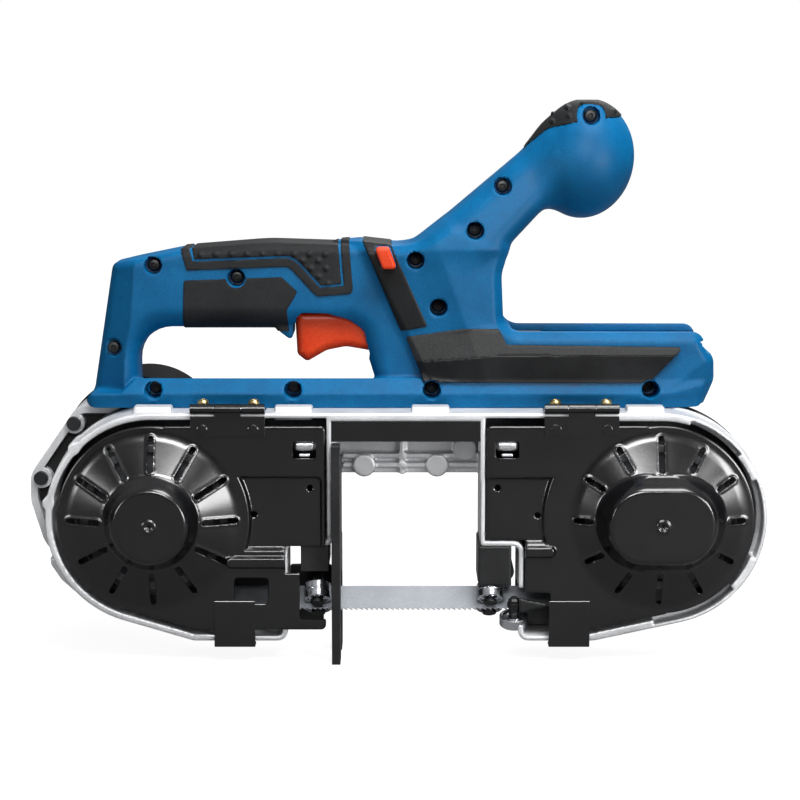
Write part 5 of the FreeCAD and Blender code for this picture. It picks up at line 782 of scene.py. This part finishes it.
# moulded red plastic: warm and satin, bright along the rounded edges
red_plastic = new_finish("satin_red_plastic", ("#e23810", "#f44c18"), (0.34, 0.44),
                         grain_mm=1.0, grain_depth_mm=0.02, Subsurface_Weight=0.05, Specular_IOR_Level=0.16)
trigger_margin, trigger_step = 6, 0.6
add_moulding("trigger_moulded", trigger_field, red_plastic, "trigger", trigger_margin, trigger_step)


# Lock-off button: one red plastic bar right through the handle, pushed from either side.
# It stands in the opening of the slanted trim band with a small gap all round.
button_low, button_high = span_of("lock_button")
button_round, button_margin, button_step = 1.2, 1, 0.5


def button_field(x, y, z):
    """The bar, rounded at both ends."""
    ends = np.maximum(button_low[1] - y, y - button_high[1])
    return meet(outline_field(button_points, x, z), ends, button_round)


add_moulding("lock_button_moulded", button_field, red_plastic, "lock_button", button_margin, button_step)


# Wheel guards: two black-painted steel pressings hung from hinges, each with a cone up to a boss over its
# wheel hub. Radial slots cool the wheels; a pressed-in panel and a bead stiffen the edge by the throat.
# A spring clip sits behind the upper window of each.
guard_near_y, guard_far_y = -61.8, -60.6
guard_mid_y = (guard_near_y + guard_far_y) / 2
guard_half_sheet = (guard_far_y - guard_near_y) / 2
guard_inset, edge_roll, edge_drop = 6.0, 1.6, 0.5
cone_foot, cone_bend, cone_rise = 44.5, 6.0, 7.4
boss_foot, boss_top_radius, boss_stretch = 24.0, 16.4, 8.0
louvre_count, louvre_half, louvre_from, louvre_to, louvre_lip = 12, 1.25, 24.5, 41.5, 0.3
lip_offset, lip_width = 0.4, 0.6
rivet_pit, rivet_pit_radius, rivet_ring, rivet_ring_radius, rivet_ring_width = 1.2, 1.7, 0.45, 2.6, 0.6
boss_rise = guard_near_y - span_of("guard_left")[0][1] - rivet_ring
panel_depth, panel_flank, pressed_corner = 2.0, 2.6, 4.0
guard_panels = {True: ((-95.0, 54.4), (-34.0, 93.0), 46.0), False: ((42.5, 57.5), (95.0, 92.5), 55.0)}
bead_rise, bead_half, bead_flank = 1.7, 3.2, 1.8
guard_beads = {True: ((-79.5, 49.6), (-53.0, 49.6)), False: ((62.0, 54.8), (75.5, 54.8))}
guard_holes = {True: ((-68.0, 73.0), (-41.0, 86.0)), False: ((50.0, 86.0), (69.5, 72.5))}
guard_extras = {True: (((-66.0, 57.0), (-33.4, 116.7)), ((-80.0, 20.0), (-53.0, 62.0)),
                       ((-64.2, 15.9), (-33.4, 44.2))),
                False: (((44.5, 60.1), (66.0, 116.7)), ((63.4, 30.0), (85.0, 66.0)))}
guard_windows = {True: (((-49.1, 100.9), (-37.9, 109.1)), ((-77.9, 28.8), (-61.5, 41.9)),
                        ((-46.2, 21.2), (-30.9, 46.2))),
                 False: (((49.0, 100.9), (60.3, 109.1)), ((58.0, 8.0), (76.0, 34.5)))}
extra_corner, window_corner, hole_radius, sheet_edge, roll_share = 2.5, 1.5, 1.5, 0.35, 0.98


def flat_box(x, z, low, high, corner):
    """Signed distance in the XZ plane to a box with rounded corners."""
    over_x = np.maximum(low[0] - x, x - high[0]) + corner
    over_z = np.maximum(low[1] - z, z - high[1]) + corner
    outside = np.hypot(np.maximum(over_x, 0), np.maximum(over_z, 0))
    return outside + np.minimum(np.maximum(over_x, over_z), 0) - corner


def smooth(share):
    """A smooth step from zero to one."""
    share = np.clip(share, 0, 1)
    return share * share * (3 - 2 * share)


def guard_outline(x, z, left):
    """Signed distance in the XZ plane to the edge of one guard."""
    edge = lobe_field(x, z, left) + guard_inset
    for low, high in guard_extras[left]:
        edge = np.minimum(edge, flat_box(x, z, low, high, extra_corner))
    return edge


def louvre_gap(x, z, left):
    """Signed distance in the XZ plane to the nearest cooling slot of one guard."""
    centre_x, stretch = (drive_x, 0.0) if left else (idler_x, boss_stretch)
    nearest = np.full(np.broadcast(x, z).shape, np.inf)
    for number in range(louvre_count):
        turn = 2 * math.pi * number / louvre_count
        out = (x - centre_x) * math.cos(turn) + (z - axis_z) * math.sin(turn)
        across = (z - axis_z) * math.cos(turn) - (x - centre_x) * math.sin(turn)
        start = louvre_from + stretch * abs(math.cos(turn)) + louvre_half
        gap = np.hypot(out - np.clip(out, start, louvre_to - louvre_half), across) - louvre_half
        nearest = np.minimum(nearest, gap)
    return nearest


def guard_relief(x, z, left):
    """How far the sheet is pressed out towards the user."""
    centre_x, stretch = (drive_x, 0.0) if left else (idler_x, boss_stretch)
    radius = np.hypot(np.maximum(np.abs(x - centre_x) - stretch, 0), z - axis_z)
    ring = np.hypot(x - centre_x, z - axis_z)
    inward = np.clip(cone_foot - ring, 0, cone_foot - boss_foot)
    bent = np.where(inward < cone_bend, inward ** 2 / (2 * cone_bend), inward - cone_bend / 2)
    relief = cone_rise * bent / (cone_foot - boss_foot - cone_bend / 2)
    relief = relief + (boss_rise - cone_rise) * smooth((boss_foot - radius) / (boss_foot - boss_top_radius))
    relief = relief - rivet_pit * smooth(1 - ring / rivet_pit_radius)
    relief = relief + rivet_ring * np.exp(-((ring - rivet_ring_radius) / rivet_ring_width) ** 2)
    low, high, dome_clear = guard_panels[left]
    panel = np.maximum(flat_box(x, z, low, high, pressed_corner), dome_clear - ring)
    relief = relief - panel_depth * smooth(-panel / panel_flank)
    (bead_x, bead_z), (bead_end_x, _) = guard_beads[left]
    bead = np.hypot(x - np.clip(x, bead_x, bead_end_x), z - bead_z)
    relief = relief + bead_rise * smooth((bead_half - bead) / bead_flank)
    return relief + louvre_lip * np.exp(-((louvre_gap(x, z, left) - lip_offset) / lip_width) ** 2)


def guard_field(left):
    """The field of one guard."""
    probe = 0.05

    def field(x, y, z):
        edge = guard_outline(x, z, left)
        relief = guard_relief(x, z, left)
        rise_x = (guard_relief(x + probe, z, left) - relief) / probe
        rise_z = (guard_relief(x, z + probe, left) - relief) / probe
        steep = np.sqrt(1 + rise_x ** 2 + rise_z ** 2)
        turned_in = np.clip((edge + edge_roll) / edge_roll, 0, 1)
        surface = guard_mid_y - relief + edge_drop * (1 - np.sqrt(1 - roll_share * turned_in ** 2))
        holes = louvre_gap(x, z, left)
        for low, high in guard_windows[left]:
            holes = np.minimum(holes, flat_box(x, z, low, high, window_corner))
        for hole_x, hole_z in guard_holes[left]:
            holes = np.minimum(holes, np.hypot(x - hole_x, z - hole_z) - hole_radius)
        sheet = np.abs(y - surface) / steep - guard_half_sheet
        return meet(sheet, np.maximum(edge, -holes), sheet_edge)
    return field


# painted steel: black, semi-gloss, with the faint ripple of a sprayed coat
black_paint = new_finish("sprayed_black_paint", ("#08080a", "#0f0f12"), (0.17, 0.23),
                         grain_mm=1.6, grain_depth_mm=0.012, Specular_IOR_Level=0.55)
guard_nodes = ((True, "guard_left"), (False, "guard_right"))
guard_margin, guard_step = 4, 0.6
for left, node in guard_nodes:
    add_moulding(node + "_pressing", guard_field(left), black_paint, node, guard_margin, guard_step)
bar_inset, bar_low_drop, bar_high_drop, bar_round = 2, 3.6, 2.2, 1.6
bar_near_y, bar_far_y = -57.6, -57.2
tongue_inset, tongue_low_rise, tongue_high_rise, tongue_round = 3.4, 0.8, 1.4, 0.4
tongue_near_y, tongue_far_y = -59.4, -57.4
clip_near_y, clip_far_y, clip_margin, clip_step, clip_fillet = -62.0, -54.0, 2, 0.4, 0.5


def clip_field(window):
    """A spring clip behind a window: a rounded bar with a tongue below it."""
    (low_x, low_z), (high_x, high_z) = window

    def field(x, y, z):
        bar = box_field(x, y, z, (low_x + bar_inset, bar_near_y, high_z - bar_low_drop),
                        (high_x - bar_inset, bar_far_y, high_z - bar_high_drop)) - bar_round
        tongue = box_field(x, y, z, (low_x + tongue_inset, tongue_near_y, low_z + tongue_low_rise),
                           (high_x - tongue_inset, tongue_far_y, low_z + tongue_high_rise)) - tongue_round
        return join(bar, tongue, clip_fillet)
    return field


# plated spring steel: pale with a soft mirror
zinc_plate = new_finish("zinc_plated_steel", ("#9c9da0", "#c4c5c7"), (0.28, 0.38),
                        grain_mm=0.8, grain_depth_mm=0.01, Metallic=1.0)
for left, node in guard_nodes:
    window = guard_windows[left][0]
    (low_x, low_z), (high_x, high_z) = window
    clip_low = (low_x - clip_margin, clip_near_y, low_z - clip_margin)
    clip_high = (high_x + clip_margin, clip_far_y, high_z + clip_margin)
    clip_mesh = mesh_of_field(node + "_clip", clip_field(window), clip_low, clip_high, clip_step)
    add_piece(node + "_clip", clip_mesh, zinc_plate, node, replaces=False)


# Saw blade: an endless spring-steel band around both wheels with a row of raked teeth on one edge.
# It is turned over between the guides, so that its teeth point down at the work.
band_width, band_thick = 12.7, 0.5
band_radius = upper_run_z - axis_z
blade_lean = math.radians(34)
roller_left_x = centre_of("roller_left_near")[0]
roller_right_x = centre_of("roller_right_near")[0]
tooth_pitch, tooth_depth = 2.54, 1.1
tooth_share_steps = ((0.0, 1.0), (0.06, 0.0), (0.35, 0.1))


def band_section(distance):
    """Centre, flat direction and width direction of the band at a distance along its loop."""
    spacing = idler_x - drive_x
    bend = math.pi * band_radius
    if distance < spacing:
        x = drive_x + distance
        if x < roller_left_x:
            twist = smooth((x - drive_x) / (roller_left_x - drive_x))
        elif x > roller_right_x:
            twist = smooth((idler_x - x) / (idler_x - roller_right_x))
        else:
            twist = 1.0
        lean = twist * (math.pi / 2 - blade_lean)
        low_z = axis_z - band_radius
        centre = Vector((x, wheel_mid_y, low_z + (cut_z - low_z) * twist))
        out = Vector((0, math.sin(lean), -math.cos(lean)))
        return centre, out, Vector((0, -math.cos(lean), -math.sin(lean)))
    distance -= spacing
    if distance < bend:
        angle = -math.pi / 2 + distance / band_radius
        centre_x = idler_x
    elif distance < bend + spacing:
        x = idler_x - (distance - bend)
        return Vector((x, wheel_mid_y, upper_run_z)), Vector((0, 0, 1)), Vector((0, -1, 0))
    else:
        angle = math.pi / 2 + (distance - bend - spacing) / band_radius
        centre_x = drive_x
    out = Vector((math.cos(angle), 0, math.sin(angle)))
    return Vector((centre_x, wheel_mid_y, axis_z)) + out * band_radius, out, Vector((0, -1, 0))


def closed_mesh(name, verts, faces, sharp_degrees):
    """A mesh without doubled points, its faces turned outwards and shaded."""
    weld = 0.001 * MM
    mesh = bpy.data.meshes.new(name)
    mesh.from_pydata(verts, [], faces)
    shell = bmesh.new()
    shell.from_mesh(mesh)
    bmesh.ops.remove_doubles(shell, verts=shell.verts, dist=weld)
    bmesh.ops.recalc_face_normals(shell, faces=shell.faces)
    shell.to_mesh(mesh)
    shell.free()
    shade(mesh, sharp_degrees)
    return mesh


def band_mesh():
    """The whole band with its teeth."""
    section_corners, band_sharp_degrees = 4, 20
    loop = 2 * (idler_x - drive_x) + 2 * math.pi * band_radius
    count = round(loop / tooth_pitch)
    verts, faces = [], []
    for tooth in range(count):
        for share, height in tooth_share_steps:
            centre, out, wide = band_section((tooth + share) * loop / count)
            tip = band_width / 2 - tooth_depth * (1 - height)
            for side, reach in ((1, tip), (1, -band_width / 2), (-1, -band_width / 2), (-1, tip)):
                verts.append((centre + out * side * band_thick / 2 + wide * reach) * MM)
    for here in range(0, len(verts), section_corners):
        following = (here + section_corners) % len(verts)
        for corner in range(section_corners):
            after = (corner + 1) % section_corners
            faces.append((here + corner, here + after, following + after, following + corner))
    return closed_mesh("saw_band", verts, faces, band_sharp_degrees)


# ground spring steel: mid grey, half dull
blade_steel = new_finish("ground_spring_steel", ("#606367", "#787b7f"), (0.45, 0.55),
                         grain_mm=0.5, grain_depth_mm=0.01, Metallic=0.8)
add_piece("saw_band", band_mesh(), blade_steel, "saw_blade")


# Guide rollers: pairs of small ball bearings on pins that pinch the band in front of and behind the cut.
# Each has sunk shields on its two sides and a fine groove around its middle.
turned_sharp_degrees = 30


def turned_mesh(name, profile, centre, axis, turns=48):
    """A mesh turned about an axis from (radius, height) pairs, closed from the last pair to the first."""
    spin = Vector((0, 0, 1)).rotation_difference(axis).to_matrix()
    verts, faces = [], []
    for number in range(turns):
        angle = 2 * math.pi * number / turns
        for radius, height in profile:
            place = Vector((radius * math.cos(angle), radius * math.sin(angle), height))
            verts.append((Vector(centre) + spin @ place) * MM)
    rows = len(profile)
    for here in range(0, len(verts), rows):
        following = (here + rows) % len(verts)
        for row in range(rows):
            after = (row + 1) % rows
            faces.append((here + row, following + row, following + after, here + after))
    return closed_mesh(name, verts, faces, turned_sharp_degrees)


def both_sides(side, groove):
    """The profile of a ring from one of its two equal sides and the groove around it."""
    return [(r, -h) for r, h in side] + groove + [(r, h) for r, h in reversed(side)]


roller_radius, roller_half, roller_bore = 6.5, 4.0, 2.1
roller_side = [(roller_bore, 3.6), (3.5, 3.6), (3.5, 3.2), (5.1, 3.2), (5.1, 3.7), (6.1, roller_half),
               (roller_radius, 3.6)]
roller_groove = [(roller_radius, -0.3), (6.2, 0.0), (roller_radius, 0.3)]
roller_profile = both_sides(roller_side, roller_groove)
roller_axis = Vector((0, -math.sin(blade_lean), -math.cos(blade_lean)))
# ground bearing steel: mirror-like with a slight blue cast
bearing_steel = new_finish("ground_bearing_steel", ("#a9abb0", "#c6c8cc"), (0.16, 0.24),
                           grain_mm=0.6, grain_depth_mm=0.004, Metallic=1.0)
for side in ("left", "right"):
    for depth in ("near", "far"):
        node = f"roller_{side}_{depth}"
        roller = turned_mesh(node + "_bearing", roller_profile, centre_of(node), roller_axis)
        add_piece(node + "_bearing", roller, bearing_steel, node)


# Small metal pieces and the motor keep their CAD shape, with their edges eased as deburring or plating
# leaves them. The motor is drawn in towards its far end; hidden pieces only get their material.
def eased_copy(node, width_mm, material, end_share=1.0, start_y=0.0):
    """A copy of a CAD node with bevelled edges, drawn in to a share of its size from a depth to its end."""
    weld, flat_angle, bevel_angle = 0.002 * MM, math.radians(1), math.radians(35)
    leaf_sharp_degrees, sharp_degrees = 5, 24
    mesh = bpy.data.objects[node].data.copy()
    mesh.name = node + "_eased"
    shell = bmesh.new()
    shell.from_mesh(mesh)
    bmesh.ops.remove_doubles(shell, verts=shell.verts, dist=weld)
    bmesh.ops.dissolve_limit(shell, angle_limit=flat_angle, verts=shell.verts, edges=shell.edges)
    sharp = [edge for edge in shell.edges
             if len(edge.link_faces) == 2 and edge.calc_face_angle(0) > bevel_angle]
    bmesh.ops.bevel(shell, geom=sharp, offset=width_mm * MM, offset_type="OFFSET", segments=2, profile=0.5,
                    affect="EDGES", clamp_overlap=True)
    middle_x, _, middle_z = centre_of(node)
    end_y = span_of(node)[1][1]
    for vert in shell.verts if end_share < 1 else ():
        part = min(max((vert.co.y / MM - start_y) / (end_y - start_y), 0), 1)
        scale = 1 + (end_share - 1) * part
        vert.co.x = (middle_x + (vert.co.x / MM - middle_x) * scale) * MM
        vert.co.z = (middle_z + (vert.co.z / MM - middle_z) * scale) * MM
    shell.to_mesh(mesh)
    shell.free()
    # the leaves of the hinges are flat strips, shaded face by face
    shade(mesh, leaf_sharp_degrees if node.startswith("hinge_leaf") else sharp_degrees)
    add_piece(node + "_eased", mesh, material, node)


# as-cast alloy, oxidised, plated and turned steel, brass, nylon and rubber, each with its own grain
# the wheels' as-cast alloy is toned dark as painted shade, for the shade they sit in behind the guards
shaded_wheel_casting = new_finish("as_cast_aluminium_painted_shade", ("#5b5c5f", "#77797c"), (0.42, 0.55),
                          grain_mm=1.2, grain_depth_mm=0.06, Metallic=0.7)
yellow_zinc = new_finish("yellow_zinc_plate", ("#a98f5a", "#cdb987"), (0.26, 0.36),
                         grain_mm=0.8, grain_depth_mm=0.01, Metallic=1.0)
black_oxide = new_finish("black_oxide_steel", ("#101113", "#1a1b1e"), (0.36, 0.48),
                         grain_mm=0.7, grain_depth_mm=0.02, Specular_IOR_Level=0.3)
machined_steel = new_finish("turned_steel", ("#8b8d91", "#b2b4b8"), (0.25, 0.34),
                            grain_mm=0.4, grain_depth_mm=0.008, Metallic=1.0)
lamination_steel = new_finish("stacked_laminations", ("#4d4e52", "#6c6d70"), (0.4, 0.5),
                              grain_mm=0.5, grain_depth_mm=0.03, Metallic=0.8)
brass = new_finish("stamped_brass", ("#b08a45", "#cfae6a"), (0.25, 0.35),
                   grain_mm=0.7, grain_depth_mm=0.01, Metallic=1.0)
dull_nylon = new_finish("dull_black_nylon", ("#0b0c0e", "#141517"), (0.6, 0.7),
                        grain_mm=0.8, grain_depth_mm=0.05, Specular_IOR_Level=0.05)
tyre_rubber = new_finish("moulded_tyre_rubber", ("#1b1b1c", "#2a2a2b"), (0.6, 0.75),
                         grain_mm=0.8, grain_depth_mm=0.06)
eased_nodes = (("gear_case", 0.6, cast_aluminium), ("guide_blocks", 0.5, black_oxide),
               ("guide_pins", 0.2, black_oxide), ("work_stop", 0.4, black_oxide),
               ("hinge_fixed_leaves", 0.25, black_paint), ("hinge_leaf_left", 0.25, black_paint),
               ("hinge_leaf_right", 0.25, black_paint), ("catch_left", 0.3, black_paint),
               ("catch_right", 0.3, black_paint), ("bridge_guard", 0.3, black_paint),
               ("tension_lever", 0.6, black_nylon), ("slide_rails", 0.3, zinc_plate),
               ("m4_bolts", 0.3, black_oxide), ("m3_screws", 0.2, yellow_zinc),
               ("lever_bolt", 0.3, zinc_plate), ("hinge_pins", 0.2, zinc_plate),
               ("terminal_block", 0.4, black_nylon), ("battery_contacts", 0.1, brass),
               ("tension_block", 0.4, machined_steel), ("drive_wheel", 0.4, shaded_wheel_casting),
               ("idler_wheel", 0.4, shaded_wheel_casting), ("drive_tyre", 0.2, tyre_rubber),
               ("idler_tyre", 0.2, tyre_rubber))
for node, width, material in eased_nodes:
    eased_copy(node, width, material)
motor_nodes = (("motor_housing", 0.5, 0.965, 50.0), ("motor_end_cap", 0.8, 0.9, -100.0))
for node, width, end_share, start_y in motor_nodes:
    eased_copy(node, width, dull_nylon, end_share, start_y)
hidden_nodes = {"gear_cover": black_oxide, "ball_bearings": bearing_steel, "stator": lamination_steel,
                "trigger_pin": zinc_plate, "switch_body": black_nylon, "control_module": black_nylon,
                "drive_shaft": machined_steel, "drive_wheel_bolt": zinc_plate, "output_gear": machined_steel,
                "layshaft": machined_steel, "layshaft_gear": machined_steel, "rotor": lamination_steel,
                "rotor_shaft": machined_steel, "cooling_fan": black_nylon, "tension_pusher": machined_steel,
                "tension_spring": zinc_plate, "idler_axle": machined_steel, "idler_bearings": bearing_steel,
                "switch_plunger": red_plastic}
for item in bpy.data.objects:
    if item.name in hidden_nodes:
        item.data.materials.clear()
        item.data.materials.append(hidden_nodes[item.name])


# Guide brackets: a black steel plate behind each pair of rollers and a moulded cover over the right block.
# A thrust bearing on a stud backs the band beside the right rollers, held by a small wedge.
bracket_left_corners = [(-52, 42, 1), (-31.6, 42, 1), (-31.6, 22, 1), (-35.5, 19, 1), (-35.5, 12, 1),
                        (-52, 12, 1)]
bracket_left = rounded(bracket_left_corners)
bracket_right_corners = [(60.2, 38, 1), (79, 38, 1), (79, 12, 1), (60.2, 12, 1)]
bracket_right = rounded(bracket_right_corners)
wedge_corners = [(60.8, 31.2, 0.6), (66, 29.7, 2), (74.5, 28.2, 0.6), (74.5, 26.6, 0.6), (66, 25.2, 2),
                 (61.2, 23.6, 0.6)]
wedge_points = rounded(wedge_corners)
bracket_left_ends, bracket_right_ends, wedge_ends = (-32.0, -30.2), (-36.0, -34.2), (-59.2, -56.4)
bracket_left_room = (-54, -33, 10), (-30, -29, 44)
bracket_right_room = (58, -37, 10), (81, -33, 40)
wedge_room = (59, -61, 22), (76, -55, 33)
cover_low, cover_high = (40.9, -58.4, 36.8), (57.1, -24.0, 56.9)
cover_low_margin, cover_high_margin = 2, 3
cover_room = [c - cover_low_margin for c in cover_low], [c + cover_high_margin for c in cover_high]
cover_knob, cover_knob_ends = (53.4, 43.4, 5.2), (-55.0, -30.0)
roller_clear, cover_round, cover_knob_edge, roller_room_edge = 0.9, 0.8, 0.6, 0.4
plate_edge, bracket_step = 0.3, 0.6


def plate_field(points, ends):
    """A flat plate with eased edges between two depths."""
    near_y, far_y = ends
    return lambda x, y, z: meet(outline_field(points, x, z), np.maximum(near_y - y, y - far_y), plate_edge)


def cover_field(x, y, z):
    """The block's cover, hollowed out over both rollers."""
    solid = box_field(x, y, z, [c + cover_round for c in cover_low], [c - cover_round for c in cover_high])
    knob_x, knob_z, knob_radius = cover_knob
    knob = meet(np.hypot(x - knob_x, z - knob_z) - knob_radius,
                np.maximum(cover_knob_ends[0] - y, y - cover_knob_ends[1]), cover_knob_edge)
    solid = np.minimum(solid - cover_round, knob)
    for depth in ("near", "far"):
        middle = centre_of("roller_right_" + depth)
        across = (y - middle[1]) * roller_axis.z - (z - middle[2]) * roller_axis.y
        above = -(y - middle[1]) * roller_axis.y - (z - middle[2]) * roller_axis.z
        room = np.maximum(np.hypot(x - middle[0], across) - roller_radius, above - roller_half)
        solid = meet(solid, roller_clear - room, roller_room_edge)
    return solid


guide_pieces = (("guide_bracket_left", plate_field(bracket_left, bracket_left_ends), bracket_left_room),
                ("guide_bracket_right", plate_field(bracket_right, bracket_right_ends), bracket_right_room),
                ("thrust_wedge", plate_field(wedge_points, wedge_ends), wedge_room),
                ("guide_cover_right", cover_field, cover_room))
for name, field, (low, high) in guide_pieces:
    guide_mesh = mesh_of_field(name, field, low, high, bracket_step)
    add_piece(name, guide_mesh, black_oxide, "guide_blocks", replaces=False)
thrust_lean_share = 0.25
thrust_axis = Vector((0, -thrust_lean_share, 1)).normalized()
thrust_centre = (58.7, -53.0, 18.9)
thrust_side = [(2.5, 2.3), (3.8, 2.3), (3.8, 1.7), (5.6, 1.7), (5.6, 2.4), (6.7, 2.6), (7.1, 2.2)]
stud_profile = [(0, -4.2), (2.5, -4.2), (3.0, -3.7), (3.0, -2.7), (2.4, -2.5), (2.4, 2.9), (2.7, 3.0),
                (2.7, 6.6), (3.4, 6.8), (3.4, 9.6), (2.9, 9.8), (2.9, 11.2), (2.0, 12.2), (0, 12.2)]
thrust_bearing = turned_mesh("thrust_bearing", both_sides(thrust_side, []), thrust_centre, thrust_axis)
add_piece("thrust_bearing", thrust_bearing, bearing_steel, "guide_blocks", replaces=False)
thrust_stud = turned_mesh("thrust_stud", stud_profile, thrust_centre, thrust_axis, turns=6)
add_piece("thrust_stud", thrust_stud, black_oxide, "guide_blocks", replaces=False)


# Screws: hardened black screws sunk in the near shell and yellow-plated pan heads on top of the hinges.
# Each head is turned with a round driver recess in its middle.
def turned_set(name, profile, places, axis):
    """One mesh of equal turned pieces at several places."""
    merged = bmesh.new()
    for place in places:
        single = turned_mesh(name, profile, place, axis, turns=24)
        merged.from_mesh(single)
        bpy.data.meshes.remove(single)
    mesh = bpy.data.meshes.new(name)
    merged.to_mesh(mesh)
    merged.free()
    shade(mesh, turned_sharp_degrees)
    return mesh


sunk_profile = [(0, 0.9), (1.1, 0.9), (1.3, 2.4), (2.5, 2.2), (3.0, 1.4), (3.0, 0), (1.5, 0), (1.5, -18.0),
                (0, -18.0)]
sunk_places = [(place_x, recess_seat_y, place_z) for place_x, place_z in screw_places]
sunk_screws = turned_set("sunk_screws", sunk_profile, sunk_places, Vector((0, -1, 0)))
add_piece("sunk_screws", sunk_screws, black_oxide, "housing_screws")
pan_profile = [(0, 3.6), (1.0, 3.6), (1.2, 4.9), (2.2, 4.7), (2.8, 3.8), (2.8, 1.6), (3.4, 1.5), (3.4, 0.4),
               (0, 0.4)]
hinge_screw_half, hinge_screw_y, hinge_screw_rise = 12.3, -54.0, 1.0
pan_z = tray_top_z + hinge_screw_rise
pan_places = [(centre_of(node)[0] + side * hinge_screw_half, hinge_screw_y, pan_z)
              for node in ("hinge_leaf_left", "hinge_leaf_right") for side in (-1, 1)]
pan_heads = turned_set("hinge_pan_heads", pan_profile, pan_places, Vector((0, 0, 1)))
add_piece("hinge_pan_heads", pan_heads, yellow_zinc, "m3_screws", replaces=False)


# Light, floor and camera, in metres: a paper floor and a white surround under three soft boxes.
# The reflectors show in glossy faces only and light nothing else.
def aimed(place, target):
    """The turn that points -Z of a lamp or camera at a target."""
    return (Vector(target) - Vector(place)).to_track_quat("-Z", "Y").to_euler()


def add_lamp(name, place, size, power, lights):
    """A soft box of a width and a height; one that doesn't light is only seen in reflections."""
    lamp = bpy.data.lights.new(name, "AREA")
    lamp.shape = "RECTANGLE"
    lamp.size, lamp.size_y = size
    lamp.energy = power
    lamp_object = bpy.data.objects.new(name, lamp)
    lamp_object.location = place
    lamp_object.rotation_euler = aimed(place, target)
    lamp_object.visible_diffuse = lights
    lamp_object.visible_camera = False
    bpy.context.scene.collection.objects.link(lamp_object)


scene = bpy.context.scene
target = (0.0027, -0.020, 0.1232)
lamps = (("soft_box_above", (0.3, -0.5, 1.2), (0.6, 0.6), 17.5, True),
         ("soft_box_behind", (0.3, 1.0, 1.1), (0.8, 0.8), 7.0, True),
         ("soft_box_front", (0.95, -1.25, 0.5), (0.4, 0.4), 4.2, True),
         ("reflector_right", (0.82, -1.0, 0.19), (0.6, 0.26), 11.5, False),
         ("reflector_left", (-0.95, -1.0, 0.24), (0.3, 0.26), 4.2, False),
         ("reflector_top", (0.0, -1.20, 0.66), (0.5, 0.2), 14.0, False))
for lamp_row in lamps:
    add_lamp(*lamp_row)
floor_mesh = bpy.data.meshes.new("paper_floor")
floor_half = 4.0
floor_corners = [(side_x * floor_half, side_y * floor_half, 0)
                 for side_x, side_y in ((-1, -1), (1, -1), (1, 1), (-1, 1))]
floor_mesh.from_pydata(floor_corners, [], [(0, 1, 2, 3)])
paper = new_finish("white_paper", ("#8a8a8a", "#929292"), (0.8, 0.9),
                   grain_mm=2.0, grain_depth_mm=0.01, Specular_IOR_Level=0.1)
# the camera sees the paper lifted to white, while the saw sees it grey
paper_lift_share = 0.9
paper_tree = paper.node_tree
paper_shader = paper_tree.nodes["Principled BSDF"]
paper_rays = add_node(paper_tree, "ShaderNodeLightPath", {})
lift = add_node(paper_tree, "ShaderNodeMath", {0: (paper_rays, "Is Camera Ray"), 1: paper_lift_share},
                operation="MULTIPLY")
paper_shader.inputs["Emission Color"].default_value = linear("#ffffff")
paper_tree.links.new(lift.outputs[0], paper_shader.inputs["Emission Strength"])
floor_mesh.materials.append(paper)
floor = bpy.data.objects.new("paper_floor", floor_mesh)
scene.collection.objects.link(floor)
world = bpy.data.worlds.new("studio")
scene.world = world
world.use_nodes = True
sky = world.node_tree
rays = add_node(sky, "ShaderNodeLightPath", {})
sky_place = add_node(sky, "ShaderNodeTexCoord", {})
direction = add_node(sky, "ShaderNodeSeparateXYZ", {0: (sky_place, "Generated")})
wall_glow, ceiling_glow, ceiling_share = 0.02, 0.55, 0.9
ceiling = add_node(sky, "ShaderNodeMapRange", {"Value": (direction, "Z"), "From Max": ceiling_share,
                                               "To Min": wall_glow, "To Max": ceiling_glow})
glow = add_node(sky, "ShaderNodeMath", {0: (ceiling, 0), 1: (rays, "Is Camera Ray")}, operation="MAXIMUM")
sky.nodes["Background"].inputs["Color"].default_value = linear("#ffffff")
sky.links.new(glow.outputs[0], sky.nodes["Background"].inputs["Strength"])
camera_data = bpy.data.cameras.new("camera")
camera_data.lens = 99
camera_data.sensor_width = 36
camera = bpy.data.objects.new("camera", camera_data)
camera.location = (0.0027, -1.1079, 0.2858)
camera.rotation_euler = aimed(camera.location, target)
scene.collection.objects.link(camera)
scene.camera = camera
scene.view_settings.view_transform = "Standard"
